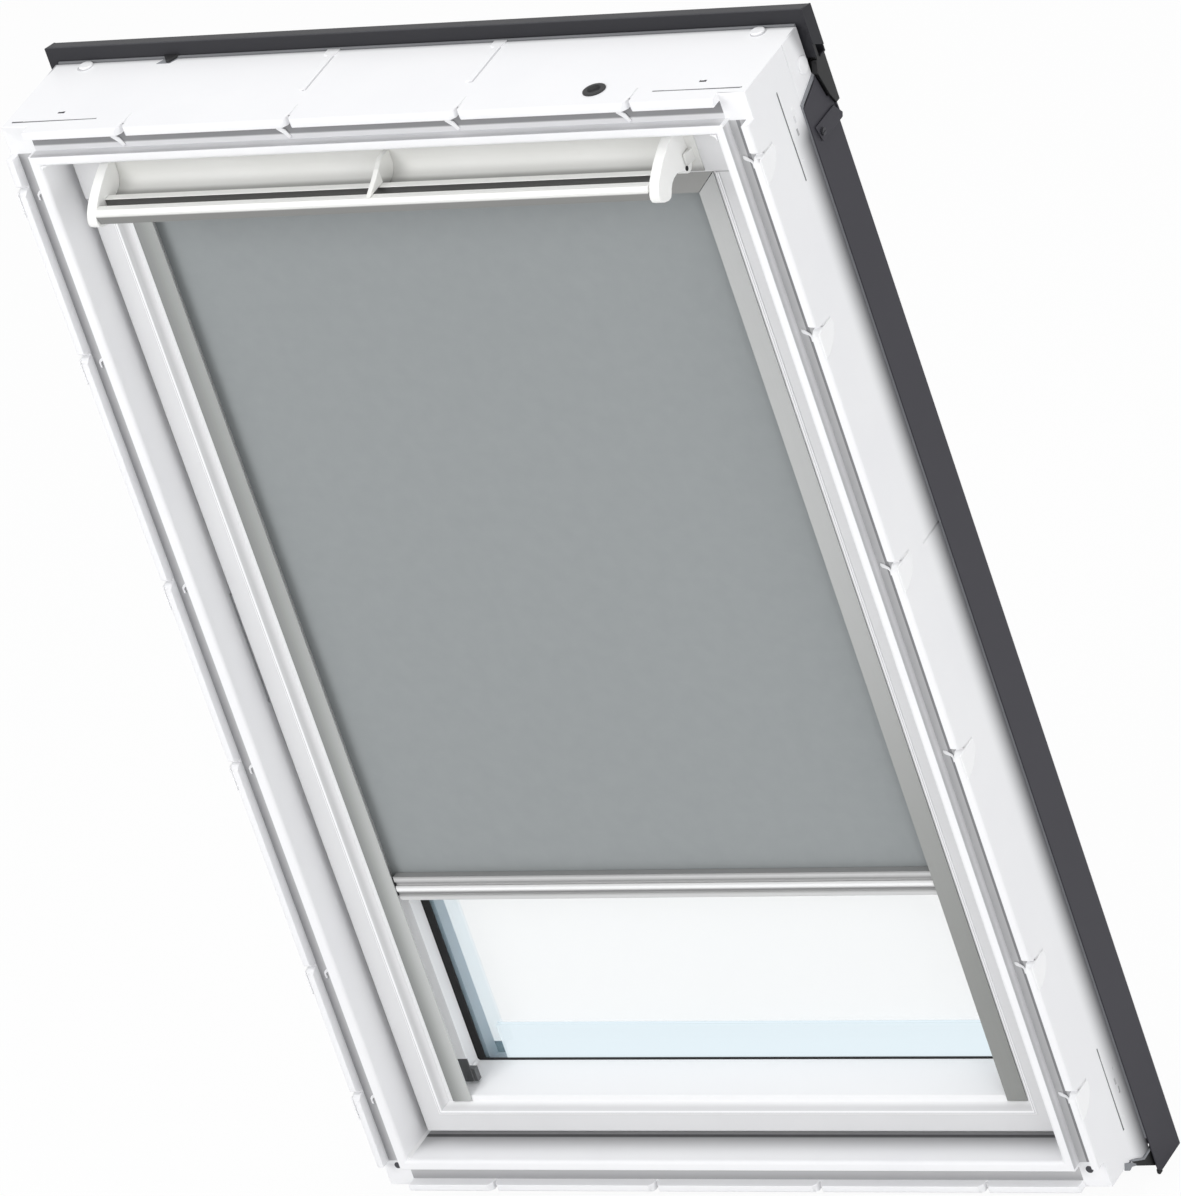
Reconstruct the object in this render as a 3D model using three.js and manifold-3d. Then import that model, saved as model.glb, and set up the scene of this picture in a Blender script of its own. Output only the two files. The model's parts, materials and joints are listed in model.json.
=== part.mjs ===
// Centre-pivot roof window with a blackout roller blind in its sash.
// Millimetres. X runs across the window, Z up the roof slope, Y from the room outwards.
// The origin is the middle of the frame's foot, in the plane of the lining groove's floor.
import * as THREE from 'three';
import { mergeVertices } from 'three/addons/utils/BufferGeometryUtils.js';
import Module from 'manifold-3d';

const wasm = await Module();
wasm.setup();

// Overall sizes
const width = 780;
const height = 1178;
const bodyDepth = 80;
const headDepth = 112;
const faceGap = 0.3;
const overrun = 1;

// Frame section, measured in from the frame's outer edge
const frameWall = 36;
const lipStart = 25.6;
const lipProud = 12.2;
const lipRound = 4;
const tabWall = 8;
const tabProud = 12;
const tabRound = 3;
const cornerBlock = 28;
const mitreGap = 0.15;

// Slots between the frame's fixing tabs
const tabPitch = 177;
const headSlotShift = 8;
const footSlotShift = -3.7;
const sideSlotShares = [0.948, 0.795, 0.585, 0.414, 0.217, 0.094];
const slotWidth = 3.2;
const slotMouth = 13;
const slotMouthDepth = 5;
const slotDepth = 10;
const creaseWidth = 1.4;
const creaseDepth = 0.7;
const creaseLength = 18;
const creaseRun = 0;

// Fine features moulded in the frame's outer faces
const headGrooveLength = 91;
const headGrooveInset = 7;
const headGrooveBack = 9;
const sideGrooveBack = 48.5;
const sideGrooveInset = 30;
const grooveWidth = 1.6;
const grooveDepth = 1;
const sideHoleOffset = 13;
const clipHoleLong = 7;
const clipHoleShort = 3;
const clipHoleOffset = 14;
const clipHoleInset = 53;
const ribSpacing = 176;
const ribStart = 41;
const ribWidth = 2.4;
const middleRibRise = 91;

// Cable duct plug in the head
const grommetInset = 161;
const grommetBack = 16;
const grommetRadius = 11;
const grommetFlange = 1.2;
const grommetShank = 8.6;
const grommetDepth = 10;
const grommetDish = 3;
const grommetDishRadius = 6.5;

// Head corner blocks, where the frame is deeper
const blockFoot = 62;
const blockShoulder = 51;

// Weather strip between the frame and its covers
const stripThick = 2.5;
const stripSetback = 2;

// Outer covers
const sheet = 1.5;
const coverStandOff = 2.2;
const coverLap = 3.2;
const shoulderLap = 5;
const shoulderBack = 13.7;
const coverTall = 46.5;
const coverTail = 40;
const coverHeadClear = 76;
const hoodDeep = 20;
const hoodRise = 15.5;
const hoodOverhang = 9;
const hoodHem = 10;
const hoodSkirtDrop = 37;
const cheekDrop = 36;
const hoodFall = 3.6;
const hoodEndInset = 22;
const hoodEndTongue = 24;
const clipTall = 17;
const clipReach = 44;
const clipLip = 5;
const clipHook = 4;
const clipSink = 104;
const screwRadius = 3.6;
const screwHead = 2;
const screwSlot = 1.2;
const apronDeep = 27;
const apronReturn = 14;

// Sash section, measured in from the frame's outer edge
const sashGap = 46;
const sashFace = 21.5;
const sashBack = 108;
const sashRound = 3;
const beadInset = 71;
const beadRound = 1.6;
const beadWide = 4.5;
const beadProud = 1;
const ledgeInset = 74;
const riserDepth = 32.9;
const revealInset = 80;
const glassSight = 90.5;
const glassPlane = 80;
const paneThick = 4;
const paneGap = 16;
const rebateInset = 75;
const glassEdgeGap = 2;
const railDrop = 92;
const railNose = 8.4;
const railPocket = 80;
const railRebate = 68;

// Seals and spacer of the glass unit
const sealProud = 1.2;
const sealSideProud = 8;
const sealThick = 2.4;
const spacerSide = 99.5;
const spacerEnd = 84;

// Covers on the sash
const sashCoverInset = 39.5;
const sashCoverStep = 76;
const sashCoverLip = 93;
const sashCoverClear = 0.6;

// Pivot
const pivotInset = 25;
const pivotPin = 6;
const pivotPlay = 0.35;
const hingePlate = 2.7;
const hingeLong = 120;
const hingeDeep = 44;
const armLong = 100;
const armDeep = 36;
const hingeSlotLong = 34;
const hingeSlotWide = 5;

// Lock in the top rail
const lockHalf = 44;
const lockFront = 40;
const lockDeep = 34;
const lockTall = 24;
const lockProud = 1;
const lockWall = 2.5;
const tongueHalf = 9;
const tongueDeep = 12;
const tongueTall = 23;
const tongueProud = 1.8;
const tonguePlay = 0.4;
const strikeHalf = 26;
const strikeDeep = 30;
const strikeThick = 5.5;
const strikeSlotHalf = 11;
const strikeSlotDeep = 15;

// Bolt that holds the sash turned over for cleaning
const boltRise = 14;
const boltAhead = 10;
const boltRadius = 4;
const boltLength = 30;
const boltTravel = 19;
const boltKnobRadius = 2.4;
const boltPlay = 0.4;
const bushWall = 2;
const bushDepth = 14;
const sides = 20;

// Ventilation flap, its cheeks and the control bar
const flapAxisBack = 12;
const flapAxisRise = 15;
const cheekInset = 44;
const cheekThick = 10;
const flapSkin = 2.5;
const coveDrop = 6;
const barFront = 46;
const barRise = 11;
const barTall = 15;
const barDepth = 30;
const barWall = 3;
const barLip = 10.5;
const barRearWall = 8;
const ribHalf = 2.5;
const flapPinRadius = 3;
const flapPinPlay = 0.25;
const bearingWide = 11;
const bearingFootGap = 0.6;
const bearingHeadGap = 1;
const filterEndGap = 45;
const filterRise = 27;
const filterTall = 13;
const filterDeep = 5;
const coveRadius = 16;
const coveSteps = 6;
const cheekReach = 58.4;
const cheekTall = 36.5;
const cheekShares = [
  [-0.154, 0.959], [-0.342, 0.849], [-0.497, 0.729], [-0.634, 0.614], [-0.753, 0.49], [-0.856, 0.373],
  [-0.933, 0.247], [-0.986, 0.104], [-1, -0.027], [-0.973, -0.137], [-0.899, -0.225], [-0.788, -0.285],
  [-0.702, -0.279], [-0.656, -0.214], [-0.61, -0.11], [-0.539, -0.016], [-0.445, 0.038], [-0.325, 0.044],
  [-0.205, -0.022], [-0.12, -0.115], [-0.06, -0.214], [0, -0.249], [0.068, -0.222], [0.127, -0.137],
  [0.15, 0], [0.15, 0.96], [0.1, 1],
];

// Blind
const channelFront = 31.4;
const channelSkin = 1.2;
const channelStart = 79.6;
const channelWidth = 21.2;
const channelWeb = 86;
const channelDeep = 15.8;
const channelFoot = 74.6;
const channelBodyFoot = 87;
const footClipTall = 14;
const footClipDeep = 6;
const footClipToe = 4;
const casingPlay = 0.4;
const casingTall = 38.1;
const casingBack = 71;
const casingEndInset = 12;
const fabricSlot = 5;
const endPlate = 1.5;
const rollerDrop = 18.6;
const tubeRadius = 10;
const tubeWall = 1;
const tubeEndGap = 2.9;
const rollRadius = 12;
const rollEndGap = 1.5;
const plugLength = 22;
const plugFlange = 1;
const journalRadius = 3;
const journalPlay = 0.25;
const journalSides = 16;
const clothBack = 42;
const clothThick = 0.6;
const blindBarFoot = 304;
const blindBarTall = 26.3;
const blindBarFront = 33.2;
const blindBarDepth = 11.3;
const blindBarGap = 0.7;
const bandGroove = 2.2;
const bandProud = 1;
const clothSlotWide = 1.4;
const clothSlotDeep = 6;
const sliderLong = 12.5;
const sliderTall = 14;
const sliderFoot = 5;

// Derived places
const halfWidth = width / 2;
const blindOpening = halfWidth - channelStart - channelWidth;
const rollerBack = clothBack + clothThick / 2 + faceGap + rollRadius;
const glassHalf = halfWidth - rebateInset - glassEdgeGap;
const glassLow = rebateInset + glassEdgeGap;
const glassHigh = height - railRebate - glassEdgeGap;
const outerPane = glassPlane + paneThick + paneGap;
const railFoot = height - railDrop;
const sashHead = height - sashGap;
const sashHalf = halfWidth - sashGap;
const pivotHeight = height / 2;
const pivotBack = bodyDepth - pivotInset;
const boltBack = pivotBack - boltAhead;
const coverRise = bodyDepth + coverTall;
const apronBack = bodyDepth + apronDeep;
const hoodBack = headDepth + hoodDeep;
const middleRibHeight = pivotHeight + middleRibRise;
const grommetAcross = halfWidth - grommetInset;
const hoodSkirt = height - hoodSkirtDrop;
const boltHeight = railFoot + boltRise;
const flapAxisHeight = railFoot + flapAxisRise;
const barTop = flapAxisHeight + barRise;
const barFoot = barTop - barTall;
const cheekOut = sashHalf - cheekInset;
const bearingFoot = railFoot + bearingFootGap;
const bearingHead = sashHead - bearingHeadGap;
const filterHalf = cheekOut - filterEndGap;
const filterLow = railFoot + filterRise;
const casingTop = height - railPocket - casingPlay;
const casingFoot = casingTop - casingTall;
const casingHalf = halfWidth - channelStart - casingEndInset;
const rollerHeight = casingTop - rollerDrop;
const tubeHalf = casingHalf - tubeEndGap;
const rollHalf = tubeHalf - rollEndGap;

function paint(color, roughness, metalness) {
  return new THREE.MeshStandardMaterial({ color, roughness, metalness });
}
const whiteBody = () => paint(0xf2f2f2, 0.45, 0);
const whiteTrim = () => paint(0xededea, 0.4, 0);
const satinMetal = () => paint(0xb4b6b6, 0.35, 0.9);
const darkSheet = () => paint(0x4d4d52, 0.5, 0.3);
const blackPlastic = () => paint(0x1b1b1d, 0.6, 0);
const steel = () => paint(0x9a9c9f, 0.35, 0.9);
const greyRubber = () => paint(0x8d9096, 0.8, 0);
const clearGlass = () => new THREE.MeshStandardMaterial({
  color: 0xdfeef4, roughness: 0.05, metalness: 0, transparent: true, opacity: 0.35,
});

// A closed three.js geometry as a solid, turned right side out where a mapping mirrored it
function toSolid(geometry) {
  const bare = geometry.index ? geometry.toNonIndexed() : geometry.clone();
  for (const name of Object.keys(bare.attributes)) {
    if (name !== 'position') bare.deleteAttribute(name);
  }
  const merged = mergeVertices(bare, 1e-4);
  const points = merged.attributes.position.array;
  const index = Array.from(merged.index.array);
  const corner = (i) => new THREE.Vector3().fromArray(points, 3 * i);
  let volume = 0;
  for (let i = 0; i < index.length; i += 3) {
    const [a, b, c] = [corner(index[i]), corner(index[i + 1]), corner(index[i + 2])];
    volume += a.dot(b.cross(c));
  }
  const triVerts = new Uint32Array(volume < 0 ? index.slice().reverse() : index);
  return new wasm.Manifold(new wasm.Mesh({ numProp: 3, vertProperties: new Float32Array(points), triVerts }));
}

// Outline points to a prism, with place(u, v, t) giving the world point of outline point (u, v) at end t
function prism(outline, place, ends = [0, 1]) {
  const shape = new THREE.Shape(outline.map(([u, v]) => new THREE.Vector2(u, v)));
  const geometry = new THREE.ExtrudeGeometry(shape, { depth: 1, steps: 1, bevelEnabled: false });
  const at = geometry.attributes.position;
  for (let i = 0; i < at.count; i += 1) {
    const end = at.getZ(i) > 0.5 ? ends[1] : ends[0];
    at.setXYZ(i, ...place(at.getX(i), at.getY(i), end));
  }
  return toSolid(geometry);
}

const alongX = (outline, from, to) => prism(outline, (y, z, x) => [x, y, z], [from, to]);
const alongY = (outline, from, to) => prism(outline, (x, z, y) => [x, y, z], [from, to]);
const alongZ = (outline, from, to) => prism(outline, (x, y, z) => [x, y, z], [from, to]);
// Two distances from the middle, on the side that sx names, as a rising pair
const span = (sx, a, b) => [sx * a, sx * b].sort((p, q) => p - q);
const rectangle = (u0, u1, v0, v1) => [[u0, v0], [u1, v0], [u1, v1], [u0, v1]];
const block = (x0, x1, y0, y1, z0, z1) => alongZ(rectangle(x0, x1, y0, y1), z0, z1);

// Points of a round corner about a centre, from one angle to another in degrees
function round(u, v, radius, from, to, steps = 3) {
  return Array.from({ length: steps + 1 }, (_, i) => {
    const angle = THREE.MathUtils.degToRad(from + (to - from) * i / steps);
    return [u + radius * Math.cos(angle), v + radius * Math.sin(angle)];
  });
}

// A bent sheet: the path and its copy moved sideways by the thickness
function bentSheet(path, thick) {
  const points = path.map(([u, v]) => new THREE.Vector2(u, v));
  const side = (a, b) => {
    const run = b.clone().sub(a).normalize();
    return new THREE.Vector2(run.y, -run.x);
  };
  const moved = points.map((p, i) => {
    const before = i > 0 ? side(points[i - 1], p) : side(p, points[i + 1]);
    const after = i < points.length - 1 ? side(p, points[i + 1]) : before;
    const middle = before.clone().add(after).normalize();
    return p.clone().addScaledVector(middle, thick / middle.dot(before));
  });
  return [...points, ...moved.reverse()].map((p) => [p.x, p.y]);
}

// A turned piece: profile of [radius, distance] pairs that closes on the axis
function turned(profile, place, segments = sides) {
  const outline = profile.map(([r, d]) => new THREE.Vector2(r, d));
  const geometry = new THREE.LatheGeometry(outline, segments);
  const at = geometry.attributes.position;
  for (let i = 0; i < at.count; i += 1) {
    at.setXYZ(i, ...place(at.getX(i), at.getZ(i), at.getY(i)));
  }
  return toSolid(geometry);
}
const turnedX = (profile, y, z, segments) => turned(profile, (u, v, d) => [d, y + u, z + v], segments);
const turnedZ = (profile, x, y, segments) => turned(profile, (u, v, d) => [x + u, y + v, d], segments);
const rod = (radius, from, to) => [[0, from], [radius, from], [radius, to], [0, to]];
const ring = (inner, outer, from, to) => [
  [inner, from], [outer, from], [outer, to], [inner, to], [inner, from],
];

const join = (...solids) => solids.reduce((a, b) => a.add(b));
const cut = (solid, ...tools) => tools.reduce((a, b) => a.subtract(b), solid);

const roofWindow = new THREE.Group();
roofWindow.name = 'roof_window';

function addMesh(name, solid, material) {
  const { vertProperties, triVerts, numProp } = solid.getMesh();
  const points = new Float32Array(3 * vertProperties.length / numProp);
  for (let i = 0; i < points.length / 3; i += 1) {
    points.set(vertProperties.subarray(i * numProp, i * numProp + 3), 3 * i);
  }
  const geometry = new THREE.BufferGeometry();
  geometry.setAttribute('position', new THREE.BufferAttribute(points, 3));
  geometry.setIndex(new THREE.BufferAttribute(new Uint32Array(triVerts), 1));
  geometry.computeVertexNormals();
  const mesh = new THREE.Mesh(geometry, material);
  mesh.name = name;
  roofWindow.add(mesh);
}

// A member of a rectangle of four, mitred where its ends meet the next ones.
// Its section is given as [inset from the frame's outer edge, distance outwards].
const sections = {
  left: (a, y, end) => [-halfWidth + a, y, end ? height - a - mitreGap : a + mitreGap],
  right: (a, y, end) => [halfWidth - a, y, end ? height - a - mitreGap : a + mitreGap],
  bottom: (a, y, end) => [end ? halfWidth - a - mitreGap : -halfWidth + a + mitreGap, y, a],
  top: (a, y, end) => [end ? halfWidth - a - mitreGap : -halfWidth + a + mitreGap, y, height - a],
};
const member = (section, side) => prism(section, sections[side]);

// Frame

const frameSection = [
  ...round(tabRound, -tabProud + tabRound, tabRound, 180, 270),
  [tabWall, -tabProud],
  [tabWall, 0],
  [lipStart, 0],
  [lipStart, -lipProud],
  ...round(frameWall - lipRound, -lipProud + lipRound, lipRound, 270, 360),
  [frameWall, bodyDepth],
  [0, bodyDepth],
];

// Tool for one slot between two tabs: a narrow neck, a flared mouth and the crease that runs back from it
function tabSlot(place) {
  const front = -tabProud - overrun;
  const neck = [[-slotWidth / 2, front], [slotWidth / 2, front], [slotWidth / 2, -tabProud + slotDepth],
    [-slotWidth / 2, -tabProud + slotDepth]];
  const mouth = [[-slotMouth / 2, front], [slotMouth / 2, front],
    [slotWidth / 2, -tabProud + slotMouthDepth], [-slotWidth / 2, -tabProud + slotMouthDepth]];
  const back = -tabProud + slotDepth;
  const crease = [[-creaseWidth / 2, back - overrun], [creaseWidth / 2, back - overrun],
    [creaseWidth / 2 + creaseRun, back + creaseLength], [-creaseWidth / 2 + creaseRun, back + creaseLength]];
  const through = [-overrun, tabWall + overrun];
  return [
    prism(neck, place, through), prism(mouth, place, through),
    prism(crease, place, [-overrun, creaseDepth]),
  ];
}

const slotCount = 2 * Math.floor((halfWidth - cornerBlock) / tabPitch);
const slotRow = (shift) => {
  const fromMiddle = (i) => (i - (slotCount - 1) / 2) * tabPitch;
  return Array.from({ length: slotCount }, (_, i) => fromMiddle(i) + shift);
};
const slotTools = {
  left: sideSlotShares.flatMap((share) => tabSlot((u, y, a) => [-halfWidth + a, y, share * height - u])),
  right: sideSlotShares.flatMap((share) => tabSlot((u, y, a) => [halfWidth - a, y, share * height - u])),
  bottom: slotRow(footSlotShift).flatMap((x) => tabSlot((u, y, a) => [x - u, y, a])),
  top: slotRow(headSlotShift).flatMap((x) => tabSlot((u, y, a) => [x - u, y, height - a])),
};

// The corners stand back to the groove's floor, without tabs
const cornerTools = [-1, 1].flatMap((sx) => [0, 1].map((top) => {
  const x = span(sx, halfWidth - cornerBlock, halfWidth + overrun);
  const z = top ? [height - cornerBlock, height + overrun] : [-overrun, cornerBlock];
  return cut(
    block(x[0], x[1], -tabProud - overrun, 0, z[0], z[1]),
    block(
      -halfWidth + lipStart, halfWidth - lipStart, -tabProud - 2 * overrun, overrun,
      lipStart, height - lipStart,
    ),
  );
}));

const outerGroove = (sx, z0, z1) => {
  const x = sx * halfWidth;
  const half = grooveWidth / 2;
  return block(x - grooveDepth, x + grooveDepth, sideGrooveBack - half, sideGrooveBack + half, z0, z1);
};
const outerHole = (sx, z) => {
  const x = sx * halfWidth;
  return block(
    x - clipHoleShort, x + clipHoleShort, sideGrooveBack + clipHoleOffset - clipHoleShort / 2,
    sideGrooveBack + clipHoleOffset + clipHoleShort / 2, z - clipHoleLong / 2, z + clipHoleLong / 2,
  );
};
const clipHoleHeights = [height - sideHoleOffset - clipHoleInset, sideHoleOffset + clipHoleInset];

function boltBushHole(y, z, play) {
  const radius = boltRadius + boltPlay + bushWall + play;
  const inner = halfWidth - frameWall;
  return turnedX(rod(radius, inner - overrun, inner + bushDepth + play), y, z);
}
// Where the bolt lies once the sash is turned right over about its pivot
const turnedOver = (y, z) => [2 * pivotBack - y, 2 * pivotHeight - z];
const boltPlaces = [[boltBack, boltHeight], turnedOver(boltBack, boltHeight)];

for (const [side, sx] of [['left', -1], ['right', 1]]) {
  const grooves = [
    outerGroove(sx, sideGrooveInset, sideGrooveInset + headGrooveLength),
    outerGroove(sx, height - sideGrooveInset - headGrooveLength, height - sideGrooveInset),
    ...clipHoleHeights.map((z) => outerHole(sx, z)),
    block(
      sx * halfWidth - grooveDepth, sx * halfWidth + grooveDepth, ribStart, bodyDepth - ribWidth,
      middleRibHeight - ribWidth / 2, middleRibHeight + ribWidth / 2,
    ),
  ];
  const bushes = sx > 0 ? boltPlaces.map(([y, z]) => boltBushHole(y, z, faceGap)) : [];
  const tools = [...cornerTools, ...slotTools[side], ...grooves, ...bushes];
  addMesh(`frame_${side}`, cut(member(frameSection, side), ...tools), whiteBody());
}
addMesh(
  'frame_bottom',
  cut(member(frameSection, 'bottom'), ...cornerTools, ...slotTools.bottom),
  whiteBody(),
);

// The head is deeper than the sides, and its blocks reach down over their ends
const headBack = block(
  -halfWidth + frameWall, halfWidth - frameWall, bodyDepth - overrun, headDepth, height - frameWall, height,
);
const headBlock = (sx) => {
  const outline = [
    [bodyDepth + faceGap, height - blockFoot],
    [headDepth, height - blockShoulder],
    [headDepth, height],
    [bodyDepth + faceGap, height],
  ];
  return alongX(outline, ...span(sx, halfWidth - frameWall - overrun, halfWidth));
};
// Fills the mitred corner behind the head's own section, so that block and head are one casting
const headCorner = (sx) => alongY([
  [sx * (halfWidth - 2 * mitreGap), height],
  [sx * (halfWidth - frameWall - overrun), height],
  [sx * (halfWidth - frameWall - overrun), height - frameWall - overrun + 2 * mitreGap],
], bodyDepth - overrun, bodyDepth + overrun);
const headBlockRelief = [-1, 1].map((sx) => {
  const x = span(sx, halfWidth - frameWall, halfWidth - frameWall - 2 * overrun);
  return block(x[0], x[1], bodyDepth, headDepth + overrun, height - blockFoot - overrun, height - frameWall);
});
const headGroove = (sx) => {
  const x = span(sx, halfWidth - headGrooveInset, halfWidth - headGrooveInset - headGrooveLength);
  return block(
    x[0], x[1], headGrooveBack - grooveWidth / 2, headGrooveBack + grooveWidth / 2,
    height - grooveDepth, height + grooveDepth,
  );
};
const headHole = (sx) => {
  const x = sx * (halfWidth - clipHoleInset);
  const y = headGrooveBack + clipHoleOffset;
  return block(
    x - clipHoleLong / 2, x + clipHoleLong / 2, y - clipHoleShort / 2, y + clipHoleShort / 2,
    height - clipHoleShort, height + overrun,
  );
};
const headRib = (sx) => block(
  sx * ribSpacing / 2 - ribWidth / 2, sx * ribSpacing / 2 + ribWidth / 2, ribStart, headDepth - ribWidth,
  height - grooveDepth, height + overrun,
);
const strikeBack = lockFront + lockDeep / 2;
addMesh(
  'frame_top',
  cut(
    join(member(frameSection, 'top'), headBack, headBlock(-1), headBlock(1), headCorner(-1), headCorner(1)),
    ...headBlockRelief, ...cornerTools, ...slotTools.top,
    headGroove(-1), headGroove(1), headHole(-1), headHole(1), headRib(-1), headRib(1),
    turnedZ(
      rod(grommetShank + faceGap, height - grommetDepth - faceGap, height + overrun),
      grommetAcross, grommetBack,
    ),
  ),
  whiteBody(),
);

addMesh(
  'cable_grommet',
  turnedZ([
    [0, height - grommetDepth],
    [grommetShank, height - grommetDepth],
    [grommetShank, height + faceGap],
    [grommetRadius, height + faceGap],
    [grommetRadius, height + faceGap + grommetFlange / 2],
    [grommetRadius - grommetFlange, height + faceGap + grommetFlange],
    [grommetDishRadius, height + faceGap + grommetFlange],
    [grommetDishRadius - overrun, height + faceGap + grommetFlange - grommetDish],
    [0, height + faceGap + grommetFlange - grommetDish],
  ], grommetAcross, grommetBack),
  blackPlastic(),
);

// Weather strips on the back of the frame
const stripSection = rectangle(
  stripSetback, frameWall - stripSetback, bodyDepth + faceGap, bodyDepth + stripThick,
);
const stripEnd = height - blockFoot - faceGap;
const stripSide = (sx) => {
  const x = span(sx, halfWidth - stripSetback, halfWidth - frameWall + stripSetback);
  return block(x[0], x[1], bodyDepth + faceGap, bodyDepth + stripThick, stripSetback, stripEnd);
};
const footStrip = join(member(stripSection, 'bottom'), stripSide(-1), stripSide(1));
addMesh('frame_weather_strip', footStrip, greyRubber());
addMesh(
  'head_weather_strip',
  block(
    -halfWidth + stripSetback, halfWidth - stripSetback, headDepth + faceGap, headDepth + stripThick,
    height - frameWall + stripSetback, height - stripSetback,
  ),
  greyRubber(),
);

// Outer covers of the frame
const coverFoot = bodyDepth + stripThick + faceGap;
const coverTop = height - coverHeadClear;
for (const [side, sx] of [['left', -1], ['right', 1]]) {
  const outer = halfWidth + coverStandOff;
  const path = [
    [sx * outer, bodyDepth - coverLap],
    [sx * outer, coverRise - sheet],
    [sx * (halfWidth - frameWall + sheet), coverRise - sheet],
    [sx * (halfWidth - frameWall + sheet), coverFoot],
  ];
  const outline = bentSheet(sx > 0 ? path : path.slice().reverse(), sheet);
  const shoulder = alongX([
    [bodyDepth - coverLap, coverTop - overrun],
    [bodyDepth - coverLap, height - blockFoot - stripSetback],
    [headDepth - shoulderLap, height - blockShoulder - stripSetback],
    [headDepth - stripSetback, height - blockShoulder + stripSetback / 2],
    [hoodBack - shoulderBack, coverTop - overrun],
  ], ...span(sx, outer, outer + sheet));
  addMesh(`frame_cover_${side}`, join(alongZ(outline, -coverTail, coverTop), shoulder), darkSheet());
}

const apronPath = [
  [coverFoot, frameWall - sheet],
  [apronBack - sheet, frameWall - sheet],
  [apronBack - sheet, -coverTail + sheet],
  [apronBack - apronReturn, -coverTail + sheet],
];
const apronHalf = halfWidth - frameWall - faceGap;
addMesh('frame_apron', alongX(bentSheet(apronPath.reverse(), sheet), -apronHalf, apronHalf), darkSheet());

// Hood over the head, its black end pieces and the clips that hold the side covers' top ends
const hoodTop = height + hoodRise;
const hoodHalf = halfWidth + hoodOverhang;
const hoodFront = headDepth + stripThick + faceGap;
const hoodPath = [
  [hoodFront + sheet, height - frameWall + stripSetback],
  [hoodFront + sheet, hoodTop - sheet],
  [hoodBack - sheet, hoodTop - hoodFall - sheet],
  [hoodBack - sheet, hoodSkirt + sheet],
  [hoodBack - hoodHem, hoodSkirt + sheet],
].reverse();
const hoodCheek = (sx) => alongX([
  [hoodFront, hoodTop],
  [hoodFront, hoodTop - cheekDrop],
  [hoodBack, hoodTop - cheekDrop - hoodHem],
  [hoodBack, hoodTop - hoodFall],
], ...span(sx, hoodHalf - sheet, hoodHalf));
const hoodShell = alongX(bentSheet(hoodPath, sheet), -hoodHalf + sheet / 2, hoodHalf - sheet / 2);
addMesh('top_hood', join(hoodShell, hoodCheek(-1), hoodCheek(1)), darkSheet());
for (const [side, sx] of [['left', -1], ['right', 1]]) {
  const foot = coverTop + faceGap;
  const head = hoodSkirt - faceGap;
  const core = [
    [bodyDepth + stripThick, height - blockFoot - stripSetback],
    [bodyDepth + stripThick, foot],
    [hoodBack - 2 * sheet, foot],
    [hoodBack - 2 * sheet, head],
    [hoodFront, head],
    [hoodFront, height - blockShoulder],
  ];
  const rim = [
    [headDepth - stripSetback + 2 * faceGap, height - blockShoulder + stripSetback],
    [hoodBack - shoulderBack + 2 * faceGap, foot],
    [hoodBack - faceGap, foot],
    [hoodBack - faceGap, head],
    [hoodFront, head],
  ];
  const tail = [
    [hoodBack - shoulderBack + 2 * faceGap, foot + overrun],
    [hoodBack - shoulderBack / 2, height - clipSink + clipTall + 2 * faceGap],
    [hoodBack - faceGap, height - clipSink + clipTall + 2 * faceGap],
    [hoodBack - faceGap, foot + overrun],
  ];
  const tongue = [
    [hoodFront + sheet + faceGap, head - overrun],
    [hoodBack - hoodHem - 2 * faceGap, head - overrun],
    [hoodBack - hoodHem - 2 * faceGap, head + hoodEndTongue],
    [hoodFront + sheet + faceGap, head + hoodEndTongue],
  ];
  const outer = hoodHalf - sheet - faceGap;
  const inner = halfWidth + coverStandOff - faceGap;
  addMesh(
    `hood_end_${side}`,
    join(
      alongX(core, ...span(sx, halfWidth - hoodEndInset, inner)),
      alongX(rim, ...span(sx, inner - overrun, outer)),
      alongX(tail, ...span(sx, halfWidth + coverStandOff + sheet + faceGap, outer)),
      alongX(tongue, ...span(sx, inner - overrun, outer)),
    ),
    blackPlastic(),
  );
}
const clipInner = halfWidth + coverStandOff + sheet + faceGap;
for (const [side, sx] of [['left', -1], ['right', 1]]) {
  const low = height - clipSink;
  const plate = [
    [coverRise - clipReach, low + clipTall],
    [coverRise - clipLip, low + clipTall],
    [coverRise + clipLip, low + clipHook],
    [coverRise + clipLip / 2, low],
    [coverRise - clipReach + clipLip, low],
  ];
  const wing = block(
    ...span(sx, halfWidth - clipLip, clipInner + sheet),
    coverRise + faceGap, coverRise + faceGap + sheet, low, low + clipTall,
  );
  const screwBack = coverRise - clipReach + 1.5 * clipLip;
  const screwUp = low + clipTall / 2;
  const flat = alongX(plate, ...span(sx, clipInner, clipInner + sheet));
  addMesh(`cover_clip_${side}`, join(flat, wing), darkSheet());
  const headAt = span(sx, clipInner + sheet + faceGap, clipInner + sheet + faceGap + screwHead);
  const slotX = sx * (clipInner + sheet + faceGap + screwHead);
  addMesh(
    `cover_screw_${side}`,
    cut(
      turnedX(rod(screwRadius, headAt[0], headAt[1]), screwBack, screwUp),
      block(
        slotX - screwHead / 2, slotX + screwHead / 2,
        screwBack - 2 * screwRadius, screwBack + 2 * screwRadius,
        screwUp - screwSlot / 2, screwUp + screwSlot / 2,
      ),
    ),
    steel(),
  );
}

// Sash

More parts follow.
